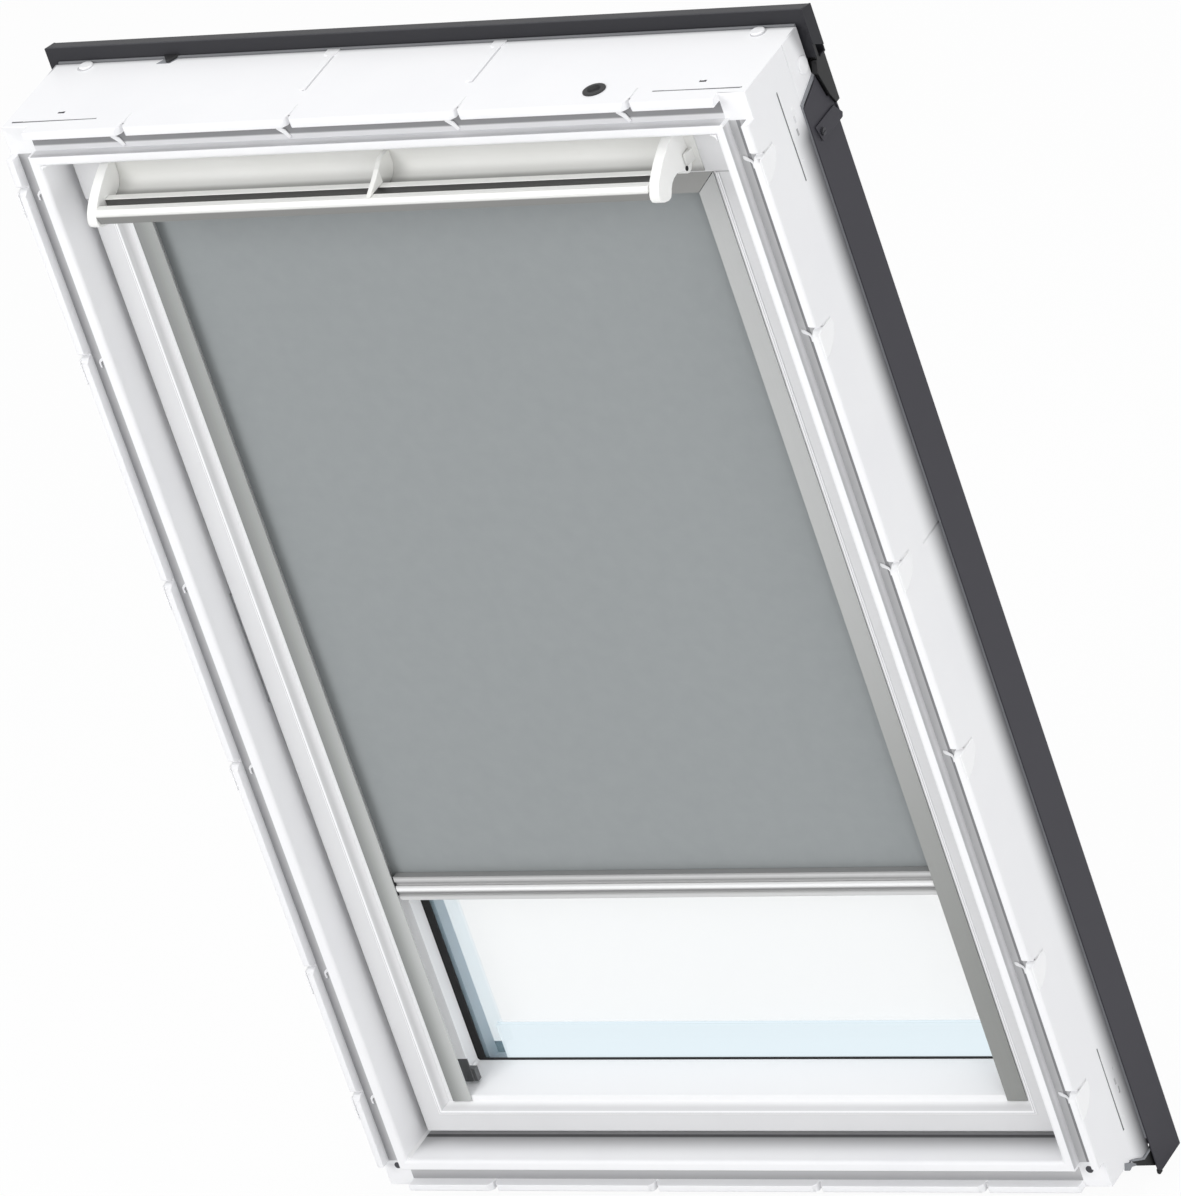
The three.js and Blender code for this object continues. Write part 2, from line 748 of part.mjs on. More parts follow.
const sashSection = [
  ...round(sashGap + sashRound, sashFace + sashRound, sashRound, 180, 270),
  [beadInset - beadWide, sashFace],
  [beadInset - beadWide + beadProud, sashFace - beadProud],
  ...round(beadInset - beadRound, sashFace - beadProud + beadRound, beadRound, 270, 360),
  [ledgeInset - beadRound, sashFace + 2 * beadRound],
  [ledgeInset, riserDepth],
  [revealInset, riserDepth],
  [glassSight, glassPlane - sealThick],
  [rebateInset, glassPlane - sealThick],
  [rebateInset, sashBack],
  [sashGap, sashBack],
];
const stileLimit = block(-width, width, -width, width, railFoot - faceGap, 2 * height);
const boltPocket = (play) => turnedX(
  rod(boltRadius + play, sashHalf - boltLength - play, sashHalf + overrun), boltBack, boltHeight,
);
for (const side of ['left', 'right']) {
  addMesh(`sash_${side}`, cut(member(sashSection, side), stileLimit), whiteBody());
}
addMesh('sash_bottom', member(sashSection, 'bottom'), whiteBody());

const railSection = [
  ...round(sashFace + beadRound, railFoot + beadRound, beadRound, 180, 270),
  [sashFace + railNose, railFoot],
  [sashFace + railNose, height - railPocket],
  [glassPlane - sealThick, height - railPocket],
  [glassPlane - sealThick, height - railRebate],
  [sashBack, height - railRebate],
  [sashBack, sashHead],
  [sashFace + sashRound, sashHead],
  [sashFace, sashHead - sashRound],
];
const railBridge = [-1, 1].map((sx) => {
  const x = span(sx, sashHalf, halfWidth - revealInset);
  return block(x[0], x[1], sashFace + railNose / 2, sashBack, railFoot, sashHead - sashRound);
});
const railRebateTool = block(
  -halfWidth + rebateInset, halfWidth - rebateInset, glassPlane - sealThick, sashBack + overrun,
  railFoot - overrun, height - railRebate,
);
const lockPocket = block(
  -lockHalf - faceGap, lockHalf + faceGap, lockFront - faceGap, lockFront + lockDeep + faceGap,
  sashHead - lockTall + lockProud - faceGap, sashHead + overrun,
);
const filterPocket = block(
  -filterHalf - faceGap, filterHalf + faceGap, sashFace - overrun, sashFace + filterDeep + faceGap,
  filterLow - faceGap, filterLow + filterTall + faceGap,
);
const boltBore = boltPocket(boltPlay);
const knobRoom = boltKnobRadius + boltPlay;
const boltEnd = sashHalf - faceGap;
const knobAcross = boltEnd - boltLength + knobRoom;
const boltSlot = block(
  knobAcross - knobRoom, knobAcross + boltTravel + knobRoom, boltBack - knobRoom, boltBack + knobRoom,
  boltHeight, sashHead + overrun,
);
addMesh(
  'sash_top',
  cut(
    join(alongX(railSection, -sashHalf, sashHalf), ...railBridge), railRebateTool, lockPocket, filterPocket,
    boltBore, boltSlot,
  ),
  whiteBody(),
);

// Glass unit
const pane = (y) => block(-glassHalf, glassHalf, y, y + paneThick, glassLow, glassHigh);
addMesh('glass_inner', pane(glassPlane), clearGlass());
addMesh('glass_outer', pane(outerPane), clearGlass());
const frameRing = (halfOut, lowOut, highOut, halfIn, lowIn, highIn, y0, y1) => cut(
  block(-halfOut, halfOut, y0, y1, lowOut, highOut),
  block(-halfIn, halfIn, y0 - overrun, y1 + overrun, lowIn, highIn),
);
addMesh(
  'glass_spacer',
  frameRing(
    glassHalf, glassLow, glassHigh, halfWidth - spacerSide, spacerEnd, glassHigh - (spacerEnd - glassLow),
    glassPlane + paneThick + faceGap, outerPane - faceGap,
  ),
  satinMetal(),
);
addMesh(
  'glazing_seal',
  frameRing(
    glassHalf, glassLow, glassHigh, halfWidth - glassSight - sealSideProud,
    glassSight + sealProud,
    height - railPocket - sealProud, glassPlane - sealThick + faceGap, glassPlane - faceGap,
  ),
  blackPlastic(),
);

// Covers over the sash's outer face
const coverOver = sashBack + sashCoverClear;
const sashCoverSection = (edge) => bentSheet([
  [edge, coverOver - 2 * hoodHem],
  [edge, coverOver + sheet],
  [sashCoverStep, coverOver + sheet],
  [sashCoverLip, outerPane + paneThick + faceGap + sheet],
], sheet);
for (const side of ['left', 'right']) {
  addMesh(`sash_cover_${side}`, member(sashCoverSection(sashCoverInset + sheet), side), darkSheet());
}
const endCoverSection = bentSheet([
  [sashGap + sheet, coverOver + sheet],
  [sashCoverStep, coverOver + sheet],
  [sashCoverLip, outerPane + paneThick + faceGap + sheet],
], sheet);
for (const side of ['bottom', 'top']) {
  addMesh(`sash_cover_${side}`, member(endCoverSection, side), darkSheet());
}

// Pivot hinges
for (const [side, sx] of [['left', -1], ['right', 1]]) {
  const wall = halfWidth - frameWall;
  const slots = [-1, 1].map((up) => {
    const z = pivotHeight + up * (hingeLong / 2 - hingeSlotLong / 2 - hingeSlotWide);
    return block(
      -width, width, pivotBack - hingeSlotWide / 2, pivotBack + hingeSlotWide / 2,
      z - hingeSlotLong / 2, z + hingeSlotLong / 2,
    );
  });
  const plateX = span(sx, wall - faceGap - hingePlate, wall - faceGap);
  const plate = block(
    plateX[0], plateX[1], pivotBack - hingeDeep / 2, pivotBack + hingeDeep / 2,
    pivotHeight - hingeLong / 2, pivotHeight + hingeLong / 2,
  );
  const hole = turnedX(
    rod(pivotPin + pivotPlay, plateX[0] - overrun, plateX[1] + overrun), pivotBack, pivotHeight,
  );
  addMesh(`hinge_plate_${side}`, cut(plate, hole, ...slots), steel());
  const armX = span(sx, sashHalf + faceGap, sashHalf + faceGap + hingePlate);
  const arm = block(
    armX[0], armX[1], pivotBack - armDeep / 2, pivotBack + armDeep / 2,
    pivotHeight - armLong / 2, pivotHeight + armLong / 2,
  );
  const pinX = span(sx, sashHalf + faceGap + hingePlate / 2, wall - 2 * faceGap);
  const collarX = span(sx, sashHalf + faceGap + hingePlate / 2, wall - 2 * faceGap - hingePlate);
  const pin = turnedX(rod(pivotPin, pinX[0], pinX[1]), pivotBack, pivotHeight);
  const collar = turnedX(rod(2 * pivotPin, collarX[0], collarX[1]), pivotBack, pivotHeight);
  addMesh(`hinge_arm_${side}`, join(arm, pin, collar), steel());
}

// Lock
const lockTop = sashHead + lockProud;
const tongueX = tongueHalf + tonguePlay;
const tongueY = [strikeBack - tongueDeep / 2, strikeBack + tongueDeep / 2];
addMesh(
  'lock_case',
  cut(
    block(-lockHalf, lockHalf, lockFront, lockFront + lockDeep, sashHead - lockTall + lockProud, lockTop),
    block(
      -tongueX, tongueX, tongueY[0] - tonguePlay, tongueY[1] + tonguePlay,
      sashHead - lockTall + lockProud + lockWall, lockTop + overrun,
    ),
  ),
  steel(),
);
const tongueTop = lockTop + tongueProud;
addMesh(
  'lock_tongue',
  alongX([
    [tongueY[0], tongueTop - tongueTall],
    [tongueY[1], tongueTop - tongueTall],
    [tongueY[1], tongueTop],
    [tongueY[0] + tongueDeep / 3, tongueTop],
    [tongueY[0], tongueTop - tongueDeep / 4],
  ], -tongueHalf, tongueHalf),
  steel(),
);
addMesh(
  'strike_plate',
  cut(
    block(
      -strikeHalf, strikeHalf, strikeBack - strikeDeep / 2, strikeBack + strikeDeep / 2,
      height - frameWall - faceGap - strikeThick, height - frameWall - faceGap,
    ),
    block(
      -strikeSlotHalf, strikeSlotHalf, strikeBack - strikeSlotDeep / 2, strikeBack + strikeSlotDeep / 2,
      height - frameWall - 2 * strikeThick, height,
    ),
  ),
  steel(),
);

// Cleaning bolt and the bushes that it enters
const knobTop = sashHead - faceGap;
addMesh(
  'cleaning_bolt',
  join(
    turnedX(rod(boltRadius, boltEnd - boltLength, boltEnd), boltBack, boltHeight),
    turnedZ(rod(boltKnobRadius, boltHeight, knobTop), knobAcross, boltBack, journalSides),
  ),
  steel(),
);
['upper', 'lower'].forEach((level, i) => {
  const [y, z] = boltPlaces[i];
  const bore = boltRadius + boltPlay;
  const face = halfWidth - frameWall;
  addMesh(
    `bolt_bush_${level}`,
    turnedX([
      [0, face + bushDepth],
      [0, face + bushDepth - bushWall],
      [bore, face + bushDepth - bushWall],
      [bore, face],
      [bore + bushWall, face],
      [bore + bushWall, face + bushDepth],
      [0, face + bushDepth],
    ], y, z),
    blackPlastic(),
  );
});

// Ventilation flap: a coved skin between two cheeks, with the control bar along its front
const barBack = -barFront + barDepth;
const flapHalf = cheekOut - cheekThick - faceGap;
const coveMiddle = flapAxisBack - flapSkin - coveRadius;
const flapPath = [
  [barBack + faceGap, barTop - coveDrop],
  ...round(coveMiddle, barTop - coveDrop + coveRadius, coveRadius, 270, 360, coveSteps),
  [flapAxisBack - flapSkin, sashHead + flapSkin],
];
addMesh('ventilation_flap', alongX(bentSheet(flapPath, flapSkin), -flapHalf, flapHalf), whiteTrim());

const barSection = [
  [barBack, barFoot + barWall / 2],
  [barBack, barTop],
  [barBack - barRearWall, barTop],
  [barBack - barRearWall, barFoot + barWall],
  [-barFront + barLip, barFoot + barWall],
  [-barFront + barLip, barTop],
  [-barFront + barWall, barTop],
  [-barFront, barTop - barWall],
  [-barFront - barWall / 6, barTop - 2 * barWall],
  [-barFront + barWall, barFoot],
  [barBack - barWall, barFoot],
];
addMesh('control_bar', alongX(barSection, -flapHalf, flapHalf), satinMetal());

const cheekPoint = ([back, up]) => [flapAxisBack + back * cheekReach, flapAxisHeight + up * cheekTall];
const cheekOutline = cheekShares.map(cheekPoint);
for (const [side, sx] of [['left', -1], ['right', 1]]) {
  const x = span(sx, cheekOut - cheekThick, cheekOut);
  const bore = turnedX(
    rod(flapPinRadius + flapPinPlay, ...span(sx, cheekOut - cheekThick / 2, cheekOut + overrun)),
    flapAxisBack, flapAxisHeight, journalSides,
  );
  addMesh(`flap_cheek_${side}`, cut(alongX(cheekOutline, x[0], x[1]), bore), whiteTrim());
  const bearingX = span(sx, cheekOut + faceGap, cheekOut + faceGap + bearingWide);
  const pinX = span(sx, cheekOut - cheekThick / 2 + faceGap, cheekOut + bearingWide / 2);
  addMesh(
    `flap_bearing_${side}`,
    join(
      block(
        bearingX[0], bearingX[1], flapAxisBack - 2 * flapPinRadius, sashFace - faceGap,
        bearingFoot, bearingHead,
      ),
      turnedX(rod(flapPinRadius, pinX[0], pinX[1]), flapAxisBack, flapAxisHeight, journalSides),
    ),
    whiteTrim(),
  );
}
const bracketOutline = [
  [-barFront + barWall, barTop + faceGap],
  [barBack + faceGap, barTop + faceGap],
  [barBack + 2 * faceGap, barTop - coveDrop + faceGap],
  ...round(coveMiddle, barTop - coveDrop + coveRadius, coveRadius - faceGap, 270, 360, coveSteps),
  [flapAxisBack - flapSkin - faceGap, sashHead],
  [-flapAxisBack / 2, sashHead],
  [-barFront / 2, barTop + cheekThick],
];
addMesh('centre_bracket', alongX(bracketOutline, -ribHalf, ribHalf), whiteTrim());

addMesh(
  'vent_filter',
  block(-filterHalf, filterHalf, sashFace, sashFace + filterDeep, filterLow, filterLow + filterTall),
  greyRubber(),
);

// Blind casing: the strip that shows is mitred onto the side channels
const channelBack = channelFront + channelDeep;
const mitreHead = casingFoot + channelWidth;
const frontStrip = alongY([
  [-blindOpening + faceGap, casingFoot],
  [blindOpening - faceGap, casingFoot],
  [blindOpening + channelWidth - faceGap, mitreHead],
  [blindOpening + channelWidth - faceGap, railFoot - faceGap],
  [-blindOpening - channelWidth + faceGap, railFoot - faceGap],
  [-blindOpening - channelWidth + faceGap, mitreHead],
], channelFront, channelFront + channelSkin);
const casingPath = [
  [channelFront, casingFoot],
  [channelFront, casingTop],
  [casingBack, casingTop],
  [casingBack, casingFoot],
  [clothBack + fabricSlot, casingFoot],
];
const mitreTool = (sx) => alongY([
  [sx * (blindOpening - faceGap), casingFoot - overrun],
  [sx * (blindOpening - faceGap), casingFoot],
  [sx * (blindOpening + channelWidth - faceGap), mitreHead],
  [sx * (blindOpening + channelWidth + overrun), mitreHead],
  [sx * (blindOpening + channelWidth + overrun), casingFoot - overrun],
], channelFront - overrun, channelFront + channelSkin + faceGap);
addMesh(
  'blind_casing',
  cut(
    join(frontStrip, alongX(bentSheet(casingPath, channelSkin), -casingHalf, casingHalf)),
    mitreTool(-1), mitreTool(1),
  ),
  satinMetal(),
);

// Ends of the casing, which carry the roller's journals
const plateFoot = casingFoot + channelSkin;
for (const [side, sx] of [['left', -1], ['right', 1]]) {
  const plateX = span(sx, casingHalf + faceGap, casingHalf + faceGap + endPlate);
  const hole = turnedX(
    rod(journalRadius + journalPlay, plateX[0] - overrun, plateX[1] + overrun), rollerBack, rollerHeight,
    journalSides,
  );
  addMesh(
    `casing_end_${side}`,
    cut(
      block(
        plateX[0], plateX[1], channelFront + channelSkin + faceGap, casingBack - channelSkin,
        plateFoot, casingTop,
      ),
      hole,
    ),
    blackPlastic(),
  );
}

// Side channels, open towards each other, with a bracket at the foot that holds them to the reveal
const channelSection = (sx) => [
  [sx * (halfWidth - channelStart), channelFront],
  [sx * (halfWidth - channelStart), channelFront + channelSkin],
  [sx * (halfWidth - channelWeb), channelFront + channelSkin],
  [sx * (halfWidth - channelWeb), channelBack],
  [sx * blindOpening, channelBack],
  [sx * blindOpening, channelBack - channelSkin],
  [sx * (halfWidth - channelWeb - channelSkin), channelBack - channelSkin],
  [sx * (halfWidth - channelWeb - channelSkin), channelFront + channelSkin],
  [sx * blindOpening, channelFront + channelSkin],
  [sx * blindOpening, channelFront],
];
for (const [side, sx] of [['left', -1], ['right', 1]]) {
  const body = alongZ(channelSection(sx), channelBodyFoot, casingFoot - faceGap);
  const front = alongY([
    [sx * blindOpening, channelFoot],
    [sx * (blindOpening + channelWidth), channelFoot],
    [sx * (blindOpening + channelWidth), mitreHead - faceGap],
    [sx * blindOpening, casingFoot - faceGap],
  ], channelFront, channelFront + channelSkin);
  const bracketX = span(sx, blindOpening - footClipToe, blindOpening + channelWidth / 2);
  const bracket = block(
    bracketX[0], bracketX[1], channelBack - channelSkin / 2, channelBack + footClipDeep,
    channelBodyFoot, channelBodyFoot + footClipTall,
  );
  addMesh(`side_channel_${side}`, join(body, front, bracket), satinMetal());
}

// Roller with its end plugs, and the fabric wound on it
addMesh(
  'roller_tube',
  turnedX(ring(tubeRadius - tubeWall, tubeRadius, -tubeHalf, tubeHalf), rollerBack, rollerHeight),
  satinMetal(),
);
addMesh(
  'fabric_roll',
  turnedX(ring(tubeRadius + faceGap, rollRadius, -rollHalf, rollHalf), rollerBack, rollerHeight),
  paint(0x969b9a, 0.9, 0),
);
const plugRadius = tubeRadius - tubeWall - faceGap;
for (const [side, sx] of [['left', -1], ['right', 1]]) {
  const flangeAt = tubeHalf + faceGap;
  addMesh(
    `roller_plug_${side}`,
    turnedX([
      [0, sx * (tubeHalf - plugLength)],
      [plugRadius, sx * (tubeHalf - plugLength)],
      [plugRadius, sx * flangeAt],
      [tubeRadius, sx * flangeAt],
      [tubeRadius, sx * (flangeAt + plugFlange)],
      [journalRadius, sx * (flangeAt + plugFlange)],
      [journalRadius, sx * (casingHalf + faceGap + endPlate)],
      [0, sx * (casingHalf + faceGap + endPlate)],
    ], rollerBack, rollerHeight, journalSides),
    blackPlastic(),
  );
}

// Fabric, its bottom bar and the sliders that run in the channels
const barHead = blindBarFoot + blindBarTall;
const clothFoot = barHead - clothSlotDeep + clothSlotWide;
addMesh(
  'blind_fabric',
  block(-rollHalf, rollHalf, clothBack - clothThick / 2, clothBack + clothThick / 2, clothFoot, rollerHeight),
  paint(0x969b9a, 0.9, 0),
);
const bandShares = {
  grooveTop: 0.77, grooveFoot: 0.61, roundTop: 0.54, roundFoot: 0.44, lineTop: 0.34, lineFoot: 0.21,
};
const band = (share) => blindBarFoot + share * blindBarTall;
const blindBarSection = [
  [blindBarFront, blindBarFoot],
  [blindBarFront, band(bandShares.lineFoot)],
  [blindBarFront + bandGroove / 2, band(bandShares.lineFoot)],
  [blindBarFront + bandGroove / 2, band(bandShares.lineTop)],
  [blindBarFront, band(bandShares.lineTop)],
  [blindBarFront - bandProud, band(bandShares.roundFoot)],
  [blindBarFront - bandProud, band(bandShares.roundTop)],
  [blindBarFront, band(bandShares.grooveFoot)],
  [blindBarFront + bandGroove, band(bandShares.grooveFoot)],
  [blindBarFront + bandGroove, band(bandShares.grooveTop)],
  [blindBarFront, band(bandShares.grooveTop)],
  [blindBarFront, barHead],
  [clothBack - clothSlotWide / 2, barHead],
  [clothBack - clothSlotWide / 2, barHead - clothSlotDeep],
  [clothBack + clothSlotWide / 2, barHead - clothSlotDeep],
  [clothBack + clothSlotWide / 2, barHead],
  [blindBarFront + blindBarDepth, barHead],
  [blindBarFront + blindBarDepth, blindBarFoot],
];
const blindBarHalf = blindOpening - blindBarGap;
addMesh('blind_bar', alongX(blindBarSection, -blindBarHalf, blindBarHalf), satinMetal());
for (const [side, sx] of [['left', -1], ['right', 1]]) {
  const x = span(sx, blindBarHalf + faceGap, blindBarHalf + faceGap + sliderLong);
  addMesh(
    `blind_slider_${side}`,
    block(
      x[0], x[1], blindBarFront, blindBarFront + blindBarDepth,
      blindBarFoot + sliderFoot, blindBarFoot + sliderFoot + sliderTall,
    ),
    blackPlastic(),
  );
}

export default roofWindow;
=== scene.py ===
import json
import math

import bmesh
import bpy
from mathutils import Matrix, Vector


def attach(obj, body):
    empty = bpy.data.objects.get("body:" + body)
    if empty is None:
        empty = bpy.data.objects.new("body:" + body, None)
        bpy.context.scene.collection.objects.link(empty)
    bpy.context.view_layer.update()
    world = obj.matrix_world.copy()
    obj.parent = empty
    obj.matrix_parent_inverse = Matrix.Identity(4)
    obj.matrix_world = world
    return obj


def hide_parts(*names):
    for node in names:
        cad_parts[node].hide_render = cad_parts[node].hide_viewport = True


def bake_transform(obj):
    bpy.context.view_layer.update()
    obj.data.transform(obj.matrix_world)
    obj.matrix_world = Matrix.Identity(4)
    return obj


# A roof window with its blackout blind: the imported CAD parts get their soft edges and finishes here,
# and the cloth, the roll and the small fittings are modelled new.

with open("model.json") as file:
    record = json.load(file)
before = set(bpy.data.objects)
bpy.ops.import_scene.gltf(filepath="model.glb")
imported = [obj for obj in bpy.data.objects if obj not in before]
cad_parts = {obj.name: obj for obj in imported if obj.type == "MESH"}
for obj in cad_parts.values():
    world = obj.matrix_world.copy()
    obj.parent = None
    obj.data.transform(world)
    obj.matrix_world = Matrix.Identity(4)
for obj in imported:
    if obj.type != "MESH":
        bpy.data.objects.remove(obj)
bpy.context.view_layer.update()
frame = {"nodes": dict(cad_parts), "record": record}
print("frame loaded:", len(frame["nodes"]), "nodes")


# Selecting and shaping

def clearSelection():
    if bpy.context.object and bpy.context.object.mode != "OBJECT":
        bpy.ops.object.mode_set(mode="OBJECT")
    bpy.ops.object.select_all(action="DESELECT")


def makeActive(piece):
    clearSelection()
    piece.select_set(True)
    bpy.context.view_layer.objects.active = piece


def editMode(piece):
    makeActive(piece)
    bpy.ops.object.mode_set(mode="EDIT")
    bpy.ops.mesh.select_all(action="SELECT")


def objectMode():
    bpy.ops.object.mode_set(mode="OBJECT")


# Selects, in edit mode, the edges or points that pass a test
def pick(kind, test):
    bpy.ops.mesh.select_mode(type=kind)
    bpy.ops.mesh.select_all(action="DESELECT")
    mesh = bpy.context.object.data
    shape = bmesh.from_edit_mesh(mesh)
    shape.normal_update()
    for item in shape.edges if kind == "EDGE" else shape.verts:
        if test(item):
            item.select_set(True)
    shape.select_flush_mode()
    bmesh.update_edit_mesh(mesh)


def edgeMiddle(edge):
    return (edge.verts[0].co + edge.verts[1].co) / 2


# Points that count as one and the shortest edge that is rounded, in metres; flat, sharp and smooth, in degrees
limits = {"doubles": 1e-5, "flat": 0.3, "sharp": 35, "smooth": 40, "shortest": 0.006, "evenWeight": 90}


# A copy of a CAD node with its doubles merged and its flats joined, ready for modifiers
def copyOfNode(node):
    mesh = frame["nodes"][node].data.copy()
    piece = bpy.data.objects.new(node + "_finish", mesh)
    bpy.context.scene.collection.objects.link(piece)
    editMode(piece)
    bpy.ops.mesh.remove_doubles(threshold=limits["doubles"])
    bpy.ops.mesh.dissolve_limited(angle_limit=math.radians(limits["flat"]))
    objectMode()
    return piece


# Rounds the sharp edges that are longer than a length and, if a test is given, pass it at their middles
def roundEdges(piece, width, segments=2, shortest=limits["shortest"], where=None):
    editMode(piece)
    sharp = math.radians(limits["sharp"])

    def wanted(edge):
        if len(edge.link_faces) != 2 or edge.calc_length() < shortest:
            return False
        return edge.calc_face_angle(0) > sharp and (where is None or where(edgeMiddle(edge)))

    pick("EDGE", wanted)
    bpy.ops.transform.edge_bevelweight(value=1)
    objectMode()
    rounding = piece.modifiers.new("rounding", "BEVEL")
    rounding.limit_method = "WEIGHT"
    rounding.width = width
    rounding.segments = segments
    rounding.use_clamp_overlap = False
    rounding.miter_outer = "MITER_ARC"
    bpy.ops.object.modifier_apply(modifier=rounding.name)


# Smooth rounds and flat flats: the large faces set the normals at their borders
def smoothShade(piece):
    makeActive(piece)
    bpy.ops.object.shade_smooth_by_angle(angle=math.radians(limits["smooth"]))
    evened = piece.modifiers.new("evened", "WEIGHTED_NORMAL")
    evened.keep_sharp = True
    evened.weight = limits["evenWeight"]
    bpy.ops.object.modifier_apply(modifier=evened.name)


def paintPiece(piece, finish):
    piece.data.materials.clear()
    piece.data.materials.append(finish)


# Mitred rectangles in metres: half the outer width, the foot and the head, and the hair gap of their joints
mitres = {"frame": (0.39, 0.0, 1.178), "sash": (0.344, 0.046, 1.132), "gap": 0.00015}


def onMitre(point, rectangle):
    half, foot, head = mitres[rectangle]
    side = half - abs(point.x)
    return min(abs(side - point.z + foot), abs(side - head + point.z)) < 2 * mitres["gap"]


# Slides a member's mitred ends by the hair gap, so that the corner shows no crack
def closeMitres(piece, rectangle, along):
    middle = (mitres[rectangle][1] + mitres[rectangle][2]) / 2 if along == 2 else 0.0
    for end in (-1, 1):
        editMode(piece)
        pick("VERT", lambda vert: onMitre(vert.co, rectangle) and (vert.co[along] - middle) * end > 0)
        shift = [0.0, 0.0, 0.0]
        shift[along] = end * mitres["gap"]
        bpy.ops.transform.translate(value=shift)
        objectMode()


# A plate: a disc whose points are dragged to an outline, pushed out between two faces, with softened rims
def cutPlate(name, plate):
    first, second, third = {"x": (1, 2, 0), "y": (0, 2, 1), "z": (0, 1, 2)}[plate["across"]]
    clearSelection()
    bpy.ops.mesh.primitive_circle_add(vertices=len(plate["outline"]), radius=0.01, fill_type="NGON")
    piece = bpy.context.object
    piece.name = name
    editMode(piece)
    shape = bmesh.from_edit_mesh(piece.data)
    shape.verts.ensure_lookup_table()
    for vert, corner in zip(shape.verts, plate["outline"]):
        vert.co[first], vert.co[second], vert.co[third] = corner[0], corner[1], plate["low"]
    bmesh.update_edit_mesh(piece.data)
    push = [0.0, 0.0, 0.0]
    push[third] = plate["high"] - plate["low"]
    bpy.ops.mesh.extrude_region_move(TRANSFORM_OT_translate={"value": push})
    bpy.ops.mesh.select_all(action="SELECT")
    bpy.ops.mesh.normals_make_consistent(inside=False)
    objectMode()
    roundEdges(piece, plate["rim"], plate.get("steps", 2), shortest=0.0)
    return piece


# A copy of a piece with its own mesh, moved, or mirrored to the other side of the window
def copyOfPiece(piece, name, shift=(0, 0, 0), mirrored=False):
    twin = bpy.data.objects.new(name, piece.data.copy())
    bpy.context.scene.collection.objects.link(twin)
    editMode(twin)
    bpy.ops.transform.translate(value=shift)
    if mirrored:
        bpy.ops.transform.resize(value=(-1, 1, 1), center_override=(0, 0, 0))
        bpy.ops.mesh.normals_make_consistent(inside=False)
    objectMode()
    return twin


def roundOutline(middle, radius, steps=28):
    turns = [2 * math.pi * step / steps for step in range(steps)]
    return [(middle[0] + radius * math.cos(turn), middle[1] + radius * math.sin(turn)) for turn in turns]


def boxOutline(low, high):
    return [low, (high[0], low[1]), high, (low[0], high[1])]


# An outline in metres from points in millimetres, moved to a spot
def outlineAt(spot, points):
    return [(spot[0] + point[0] / 1000, spot[1] + point[1] / 1000) for point in points]


# A shader socket that can stand in sums
class Wire:
    def __init__(self, shop, socket):
        self.shop = shop
        self.socket = socket

    def maths(self, operation, first, second):
        return self.shop.node("ShaderNodeMath", {"operation": operation}, {0: first, 1: second})

    def __add__(self, other):
        return self.maths("ADD", self, other)

    __radd__ = __add__

    def __sub__(self, other):
        return self.maths("SUBTRACT", self, other)

    def __rsub__(self, other):
        return self.maths("SUBTRACT", other, self)

    def __mul__(self, other):
        return self.maths("MULTIPLY", self, other)

    __rmul__ = __mul__

    def __truediv__(self, other):
        return self.maths("DIVIDE", self, other)

    def below(self, other):
        return self.maths("LESS_THAN", self, other)

    def above(self, other):
        return self.maths("GREATER_THAN", self, other)

    def least(self, other):
        return self.maths("MINIMUM", self, other)

    def most(self, other):
        return self.maths("MAXIMUM", self, other)

    def size(self):
        return self.maths("ABSOLUTE", self, 0.0)

    def within(self, low, high):
        return self.above(low) * self.below(high)

    def near(self, middle, reach):
        return (self - middle).size().below(reach)

    # 0 before one value, 1 after the other, and smooth between them
    def rise(self, start, end):
        return self.shop.node(
            "ShaderNodeMapRange", {"interpolation_type": "SMOOTHSTEP"},
            {"Value": self, "From Min": start, "From Max": end},
        )


# Builds one node tree
class Shop:
    def __init__(self, tree):
        self.tree = tree
        tree.nodes.clear()

    def node(self, kind, settings=None, values=None, out=0):
        made = self.tree.nodes.new(kind)
        for name, value in (settings or {}).items():
            if name == "stops":
                self.setStops(made.color_ramp, value)
            else:
                setattr(made, name, value)
        for name, value in (values or {}).items():
            if isinstance(value, Wire):
                self.tree.links.new(value.socket, made.inputs[name])
            else:
                made.inputs[name].default_value = value
        return Wire(self, made.outputs[out]) if made.outputs else made

    def setStops(self, ramp, stops):
        while len(ramp.elements) < len(stops):
            ramp.elements.new(0.5)
        for element, (place, colour) in zip(ramp.elements, stops):
            element.position = place
            element.color = colour

    def mix(self, share, first, second):
        return self.node(
            "ShaderNodeMix", {"data_type": "RGBA"}, {0: share, 6: first, 7: second}, out=2,
        )

    # Object coordinates, in metres, with the three axes stretched
    def place(self, stretch=(1, 1, 1)):
        point = self.node("ShaderNodeTexCoord", out="Object")
        return self.node("ShaderNodeMapping", None, {"Vector": point, "Scale": stretch})

    def split(self, point):
        parted = self.node("ShaderNodeSeparateXYZ", None, {0: point})
        return [Wire(self, output) for output in parted.socket.node.outputs]

    def axes(self):
        return self.split(self.node("ShaderNodeTexCoord", out="Object"))

    def noise(self, scale, detail=3.0, roughness=0.5, stretch=(1, 1, 1)):
        return self.node(
            "ShaderNodeTexNoise", None,
            {"Vector": self.place(stretch), "Scale": scale, "Detail": detail, "Roughness": roughness},
        )

    # Drawing lines of an extruded profile, stretched along one axis
    def lines(self, along):
        return self.noise(1700.0, 3.0, 0.6, tuple(0.012 if axis == along else 1.0 for axis in "xyz"))

    def bump(self, height, distance, strength=1.0):
        return self.node(
            "ShaderNodeBump", None, {"Height": height, "Distance": distance, "Strength": strength},
        )


